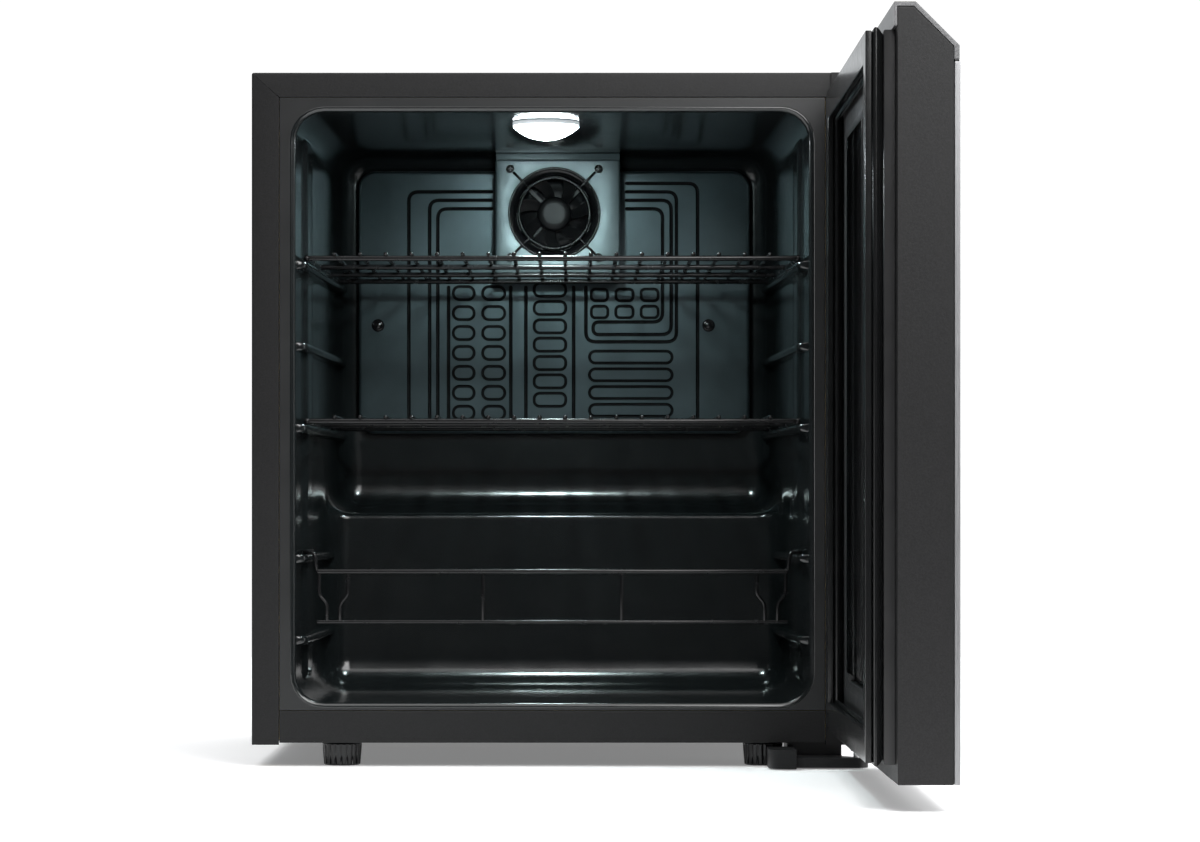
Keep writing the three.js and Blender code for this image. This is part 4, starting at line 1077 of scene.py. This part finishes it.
# ---- compressor bay and back
def add_compressor():
    """A welded shell with a seam, a mounting plate with round corners and a process stub."""
    span = Span("compressor")
    x, y, base = span.x, span.y, span.z0
    top = Span("drip_tray").z0 - 0.5
    lower = [(46, 2), (49.5, 4.5), (52.4, 10), (53.2, 18), (53.2, 44)]
    seam = [(53.9, 44.6), (54, 46.4), (54, 47.4), (53.4, 48.2), (52.2, 48.6)]
    dome = [(24 + 28.2 * cos(t), top - 30 + 30 * sin(t)) for t in radians_between(0, 90, 12)]
    shell = [(r, base + h) for r, h in lower + seam]
    form = lathe(Form(), shell + dome + [(6, top)], (x, y, 0), sides=88)
    plate = [(base, 1.0), (base + 0.3, 0.2), (base + 1.0, 0), (base + 2.4, 0), (base + 3, 0.6)]
    slab(form, (x, y), span.half, span.half_y, 12, plate, axis="Z")
    stub = [(x + 20, y + 46, base + 16), (x + 26, y + 58, base + 16), (x + 30, y + 62, base + 34)]
    tube(form, stub, 2.6, bend=5)
    add_piece("compressor_shell", form, ENAMEL, ["compressor"], sharp=45)


def add_compressor_mounts():
    """Rubber mounts with a waist; the outline's heights are shares of the whole."""
    lower = [(8.2, 0), (9, 0.06), (9, 0.3), (7.9, 0.38), (7, 0.5)]
    upper = [(7.9, 0.62), (9, 0.7), (9, 0.94), (8.2, 1)]
    for number in "1234":
        node = "compressor_mount_" + number
        height = Span(node).height
        outline = [(r, share * height) for r, share in lower + upper]
        add_turned("rubber_mount_" + number, node, outline, RUBBER, 40)


CONDENSER_TUBE, CONDENSER_WIRE, CONDENSER_RUNS, CONDENSER_WIRES = 2.4, 0.8, 8, 37


def add_condenser():
    """A serpentine tube, with upright wires welded on behind it."""
    span = Span("condenser_coil")
    bottom, top = span.z0 + 8, span.z1 - 8
    pitch = (top - bottom) / (CONDENSER_RUNS - 1)
    y = span.y0 + CONDENSER_TUBE
    half = span.half - CONDENSER_TUBE
    reach = half - pitch / 2
    route = [(-reach, y, bottom)]
    for run in range(CONDENSER_RUNS):
        side = 1 if run % 2 == 0 else -1
        z = bottom + run * pitch
        route.append((side * reach, y, z))
        if run < CONDENSER_RUNS - 1:
            bend = arc(0, z + pitch / 2, pitch / 2, -90, 90, 14)
            route += [(side * (reach + a), y, b) for a, b in bend[1:-1]]
            route.append((side * reach, y, z + pitch))
    form = tube(Form(), route, CONDENSER_TUBE, sides=14)
    behind = y + CONDENSER_TUBE + CONDENSER_WIRE - 0.5
    for i in range(CONDENSER_WIRES):
        x = (reach - 8) * (2 * i / (CONDENSER_WIRES - 1) - 1)
        tube(form, [(x, behind, span.z0 + 0.4), (x, behind, span.z1 - 0.4)], CONDENSER_WIRE, sides=8)
    add_piece("condenser_grid", form, WIRE, ["condenser_coil"])


def add_relay_cover():
    span = Span("compressor_relay_cover")
    box = (span.x0, span.x1, span.y0, span.y1, span.z0, span.z1)
    form = soft_block(Form(), *box, corner=4, edge=2, axis="X")
    for i in range(4):
        z = span.z0 + 12 + i * 8
        rib = (span.x1 - 1, span.x1 + 0.8, span.y0 + 8, span.y1 - 8, z, z + 3)
        soft_block(form, *rib, corner=1.4, edge=0.5, axis="X")
    add_piece("relay_box", form, BLACK, ["compressor_relay_cover"])


def add_drip_tray():
    """An open moulded tray with a rolled rim."""
    span = Span("drip_tray")
    low, top = span.z0, span.z1
    outside = [(low, 3.0), (low + 0.9, 0.9), (low + 3, 0.3), (top - 1.2, 0.3), (top - 0.4, 0), (top, 0.5)]
    inside = [(top, 1.6), (top - 0.6, 2.1), (low + 4, 2.3), (low + 2.4, 4), (low + 2, 7)]
    form = slab(Form(), (span.x, span.y), span.half, span.half_y, 12, outside + inside, axis="Z")
    add_piece("drip_tray_moulding", form, BLACK, ["drip_tray"], sharp=50)


def add_drier():
    """A spun copper drier: a fat middle with swaged ends."""
    height = Span("filter_drier").height
    neck = [(1.6, 0), (2, 0.4), (2.1, 9)]
    swell = neck + [(2.6, 12), (4.4, 15.5), (7.4, 19.2), (8.7, 21.4), (9, 23.5)]
    outline = swell + [(r, height - h) for r, h in reversed(swell)]
    add_turned("drier_body", "filter_drier", outline, COPPER, 40)


def add_thermostat():
    """A box with a knob, and a scale of dots that grow in size round it."""
    box, span = Span("thermostat_housing"), Span("thermostat_knob")
    form = soft_block(Form(), box.x0, box.x1, box.y0, box.y1, box.z0, box.z1, corner=6, edge=1.8)
    add_piece("thermostat_box", form, BLACK, ["thermostat_housing"])
    dots = Form()
    scale = 20.5
    for step, turn in enumerate(radians_between(225, -45, 6)):
        centre = (box.x + scale * cos(turn), box.y1, box.z + scale * sin(turn))
        size = 0.7 + 0.12 * step
        lathe(dots, [(size, -0.4), (size, 0.15), (size * 0.6, 0.28)], centre, axis="Y", sides=20)
    add_piece("thermostat_scale", dots, WHITE)
    tip = span.y1 - span.y0
    skirt = [(16, 0), (17, 0.3), (17, 2.6), (16.2, 3.6), (13.2, 4.2), (12.4, 5)]
    crown = [(11.9, tip - 1.4), (11, tip - 0.3), (9.6, tip)]
    knob = lathe(Form(), skirt + crown, (box.x, span.y0, box.z), axis="Y", sides=144, wave=knurl)
    pointer = (box.x - 2.4, box.x + 2.4, span.y0 + 3, span.y1 - 0.1, box.z, box.z + 15)
    soft_block(knob, *pointer, corner=1.2, edge=0.6)
    slot, body = "black_plastic", "thermostat_dial"
    add_piece("thermostat_grip", knob, BLACK, ["thermostat_knob"], body, sharp=50)


KNOB_RIBS, KNOB_RIB_DEPTH = 36, 0.02


def knurl(turn, height):
    """The share of the knob's radius that its fine grip ribs leave at a turn."""
    return 1 - KNOB_RIB_DEPTH * (1 + cos(KNOB_RIBS * turn)) / 2 if height > 4 else 1


PANEL_SCREW_HEIGHTS = (176, 300, 420, 494)
PANEL_SCREW_INSET, PANEL_SCREW_MIDDLE = 8, 70
DECK_SCREWS = (-190, -60, 60, 190)


def add_screws():
    """Pan-head screws in the back panel, brackets, bay and boxes."""
    panel, deck = Span("back_panel"), Span("compressor_deck")
    edge, middle = panel.half - PANEL_SCREW_INSET, PANEL_SCREW_MIDDLE
    spots = [(x, panel.y1, z) for x in (-edge, edge) for z in PANEL_SCREW_HEIGHTS]
    spots += [(x, panel.y1, z) for x in (-middle, middle) for z in PANEL_SCREW_HEIGHTS[::3]]
    for side in ("left", "right"):
        bracket = Span("condenser_bracket_" + side)
        spots += [(bracket.x, bracket.y1, z) for z in (bracket.z0 + 14, bracket.z1 - 14)]
    housing, inlet = Span("thermostat_housing"), Span("power_inlet")
    spots += [(housing.x + 20, housing.y1, z) for z in (housing.z0 + 5, housing.z1 - 5)]
    spots += [(x, deck.y1, deck.z1 - 5) for x in DECK_SCREWS]
    form = Form()
    for spot in spots:
        cross_head(form, spot, 3.4, 2.0, 1)
    for z in (inlet.z0 + 2.8, inlet.z1 - 2.8):
        cross_head(form, (inlet.x, inlet.y1 - 0.1, z), 1.9, 0.9, 1)
    add_piece("back_screws", form, ZINC, sharp=30)


FOAM_PLUG_X, FOAM_PLUG_HEIGHT = 150, 215


def add_foam_plugs():
    """Caps over the foam's filling holes in the back panel."""
    back = Span("back_panel").y1 - 0.1
    cap = [(13.0, 0), (13.0, 0.6), (12.2, 1.2), (9.4, 1.4), (8.8, 0.9), (1.0, 0.9)]
    form = Form()
    for side in (-1, 1):
        lathe(form, cap, (side * FOAM_PLUG_X, back, FOAM_PLUG_HEIGHT), axis="Y")
    add_piece("foam_plugs", form, BLACK, sharp=50)


HINGE_SCREW_X, HINGE_SCREW_FACE = 211.8, -2.2
HINGE_SCREW_HEIGHTS = (484.5, 496.5)


def add_hinge_screws():
    """Screws in the upper hinge's leaf, on the front of the cabinet."""
    form = Form()
    for z in HINGE_SCREW_HEIGHTS:
        cross_head(form, (HINGE_SCREW_X, HINGE_SCREW_FACE, z), 2.6, 0.7, -1)
    add_piece("upper_hinge_screws", form, ENAMEL, sharp=30)


def dress_cad_nodes():
    """CAD nodes that keep their own shape: a finish for each, and the reach of its rounded edges."""
    dress(PAINT, 0.4, "back_panel", "front_trim")
    dress(PAINT, 0.6, "door_stile_free", "door_stile_hinge", "door_top_rail", "door_bottom_rail")
    dress(GALVANISED, 0.3, "bottom_panel", "compressor_bay_wall", "compressor_deck")
    dress(FOAM, 0.3, "insulation_foam")
    dress(BLACK, 0.4, "fan_frame")
    dress(GALVANISED, 0.6, "fan_motor")
    dress(WHITE, 0.5, "door_switch")
    dress(CAP_PAINT, 0.35, "door_top_cap")
    dress(PANEL, 0.5, "door_front_panel")
    dress(OUTER_GLASS, 0.3, "door_front_glass")
    dress(INNER_GLASS, 0.3, "door_middle_glass", "door_inner_glass")
    dress(SPACER, 0.3, "glazing_spacer")
    dress(BLACK, 0.5, "condenser_bracket_left", "condenser_bracket_right", "power_inlet", "door_lug")
    dress(BLACK, 1.6, "lower_hinge_bracket", segments=5)
    dress(PAINT, 0.3, "upper_hinge_bracket")
    dress(ZINC, 0.3, "lower_hinge_pin", "upper_hinge_pin")
    for node in ("discharge_line", "suction_line"):
        round_off(finish_node(node, COPPER))


def round_off(piece):
    """Subdivides a bent CAD tube, so that its sides are round."""
    rounding = piece.modifiers.new("rounding", "SUBSURF")
    rounding.levels = 1
    rounding.render_levels = 1
    even_shading(piece)


# ---- camera, light and floor
# Metres from the cabinet's front face and centre line, then the lens in millimetres.
CAMERA_DISTANCE = 3.100
CAMERA_SIDE = 0.013
CAMERA_HEIGHT = 0.193
SENSOR_MM = 36.0
LENS_MM = 127.1
SHIFT = (0.025, 0.0683)


def add_camera():
    data = bpy.data.cameras.new("camera")
    data.sensor_width = SENSOR_MM
    data.lens = LENS_MM
    data.shift_x, data.shift_y = SHIFT
    data.clip_end = 50
    camera = link_object("camera", data)
    camera.location = (CABINET_X + CAMERA_SIDE, FRONT_Y - CAMERA_DISTANCE, CAMERA_HEIGHT)
    camera.rotation_euler = (radians(90), 0, 0)
    bpy.context.scene.camera = camera


def add_light(name, kind, location, target, power, color=(1, 1, 1), **values):
    data = bpy.data.lights.new(name, kind)
    data.energy = power
    data.color = color
    for key, value in values.items():
        setattr(data, key, value)
    light = link_object(name, data)
    light.location = location
    light.rotation_euler = (Vector(target) - Vector(location)).to_track_quat("-Z", "Y").to_euler()


FRONT_FILL, BACK_FILL = 0.04, 0.9


def add_world():
    """A pale backdrop behind the fridge and a dark studio in front; the camera itself sees plain white."""
    world = bpy.data.worlds.new("studio")
    bpy.context.scene.world = world
    world.use_nodes = True
    nodes, links = world.node_tree.nodes, world.node_tree.links
    nodes.clear()
    seen = nodes.new("ShaderNodeBackground")
    seen.inputs["Color"].default_value = (1, 1, 1, 1)
    seen.inputs["Strength"].default_value = 1.1
    way = nodes.new("ShaderNodeTexCoord")
    split = nodes.new("ShaderNodeSeparateXYZ")
    fade = nodes.new("ShaderNodeMapRange")
    fade.interpolation_type = "SMOOTHSTEP"
    reach = {"From Min": -0.1, "From Max": 0.8, "To Min": FRONT_FILL, "To Max": BACK_FILL}
    for socket, value in reach.items():
        fade.inputs[socket].default_value = value
    fill = nodes.new("ShaderNodeBackground")
    fill.inputs["Color"].default_value = (0.95, 0.98, 1, 1)
    path = nodes.new("ShaderNodeLightPath")
    mix = nodes.new("ShaderNodeMixShader")
    out = nodes.new("ShaderNodeOutputWorld")
    links.new(way.outputs["Generated"], split.inputs["Vector"])
    links.new(split.outputs["Y"], fade.inputs["Value"])
    links.new(fade.outputs["Result"], fill.inputs["Strength"])
    links.new(path.outputs["Is Camera Ray"], mix.inputs["Fac"])
    links.new(fill.outputs["Background"], mix.inputs[1])
    links.new(seen.outputs["Background"], mix.inputs[2])
    links.new(mix.outputs["Shader"], out.inputs["Surface"])


def add_studio():
    add_camera()
    add_world()
    above = (CABINET_X - 0.15, FRONT_Y - 0.35, 3.0)
    add_light("sky", "SUN", above, (CABINET_X, FRONT_Y, 0), 2.9, angle=radians(75))
    near = (CABINET_X + 0.55, FRONT_Y - 0.95, 1.0)
    add_light("top_right", "AREA", near, (CABINET_X + 0.2, FRONT_Y, 0.45), 22, size=0.9)
    beside = (CABINET_X + 1.3, FRONT_Y - 0.33, 0.42)
    add_light("right_fill", "AREA", beside, (CABINET_X + 0.3, FRONT_Y - 0.38, 0), 12, size=0.8)
    lamp = Span("lamp_lens")
    under = place(lamp.x, lamp.y, lamp.z0 - 3)
    below = place(lamp.x, lamp.y + 60, 40)
    add_light("lamp_glow", "AREA", under, below, 0.85, (0.74, 1.0, 0.98), size=0.04, shape="DISK")


FLOOR_SIZE = 3.0
FLOOR_AHEAD = 0.8
FLOOR_GLOW = 0.2


def add_floor():
    middle = FRONT_Y - FLOOR_AHEAD + FLOOR_SIZE / 2
    bpy.ops.mesh.primitive_plane_add(size=FLOOR_SIZE, location=(CABINET_X, middle, 0))
    floor = bpy.context.object
    floor.name = "floor"
    material = bpy.data.materials.new("floor")
    material.use_nodes = True
    shader = material.node_tree.nodes["Principled BSDF"]
    shader.inputs["Base Color"].default_value = (0.94, 0.94, 0.945, 1)
    shader.inputs["Roughness"].default_value = 0.8
    shader.inputs["Emission Color"].default_value = (1, 1, 1, 1)
    shader.inputs["Emission Strength"].default_value = FLOOR_GLOW
    floor.data.materials.append(material)


# ---- the whole
MAKERS = (
    add_casing,
    add_liner,
    add_wall_forms,
    add_evaporator,
    add_fan_cover,
    add_fan_inlet,
    add_fan_guard,
    add_fan_screws,
    add_impeller,
    add_plate_plugs,
    add_lamp,
    add_shelves,
    add_bottle_guard,
    add_front_feet,
    add_rear_feet,
    add_gasket,
    add_bezel,
    add_panel_seam,
    add_knuckle,
    add_compressor,
    add_compressor_mounts,
    add_condenser,
    add_relay_cover,
    add_drip_tray,
    add_drier,
    add_thermostat,
    add_screws,
    add_foam_plugs,
    add_hinge_screws,
    dress_cad_nodes,
)

for make in MAKERS:
    make()
add_studio()
add_floor()
scene = bpy.context.scene
scene.view_settings.view_transform = "Standard"
scene.cycles.use_denoising = True
scene.cycles.caustics_reflective = False
scene.cycles.caustics_refractive = False
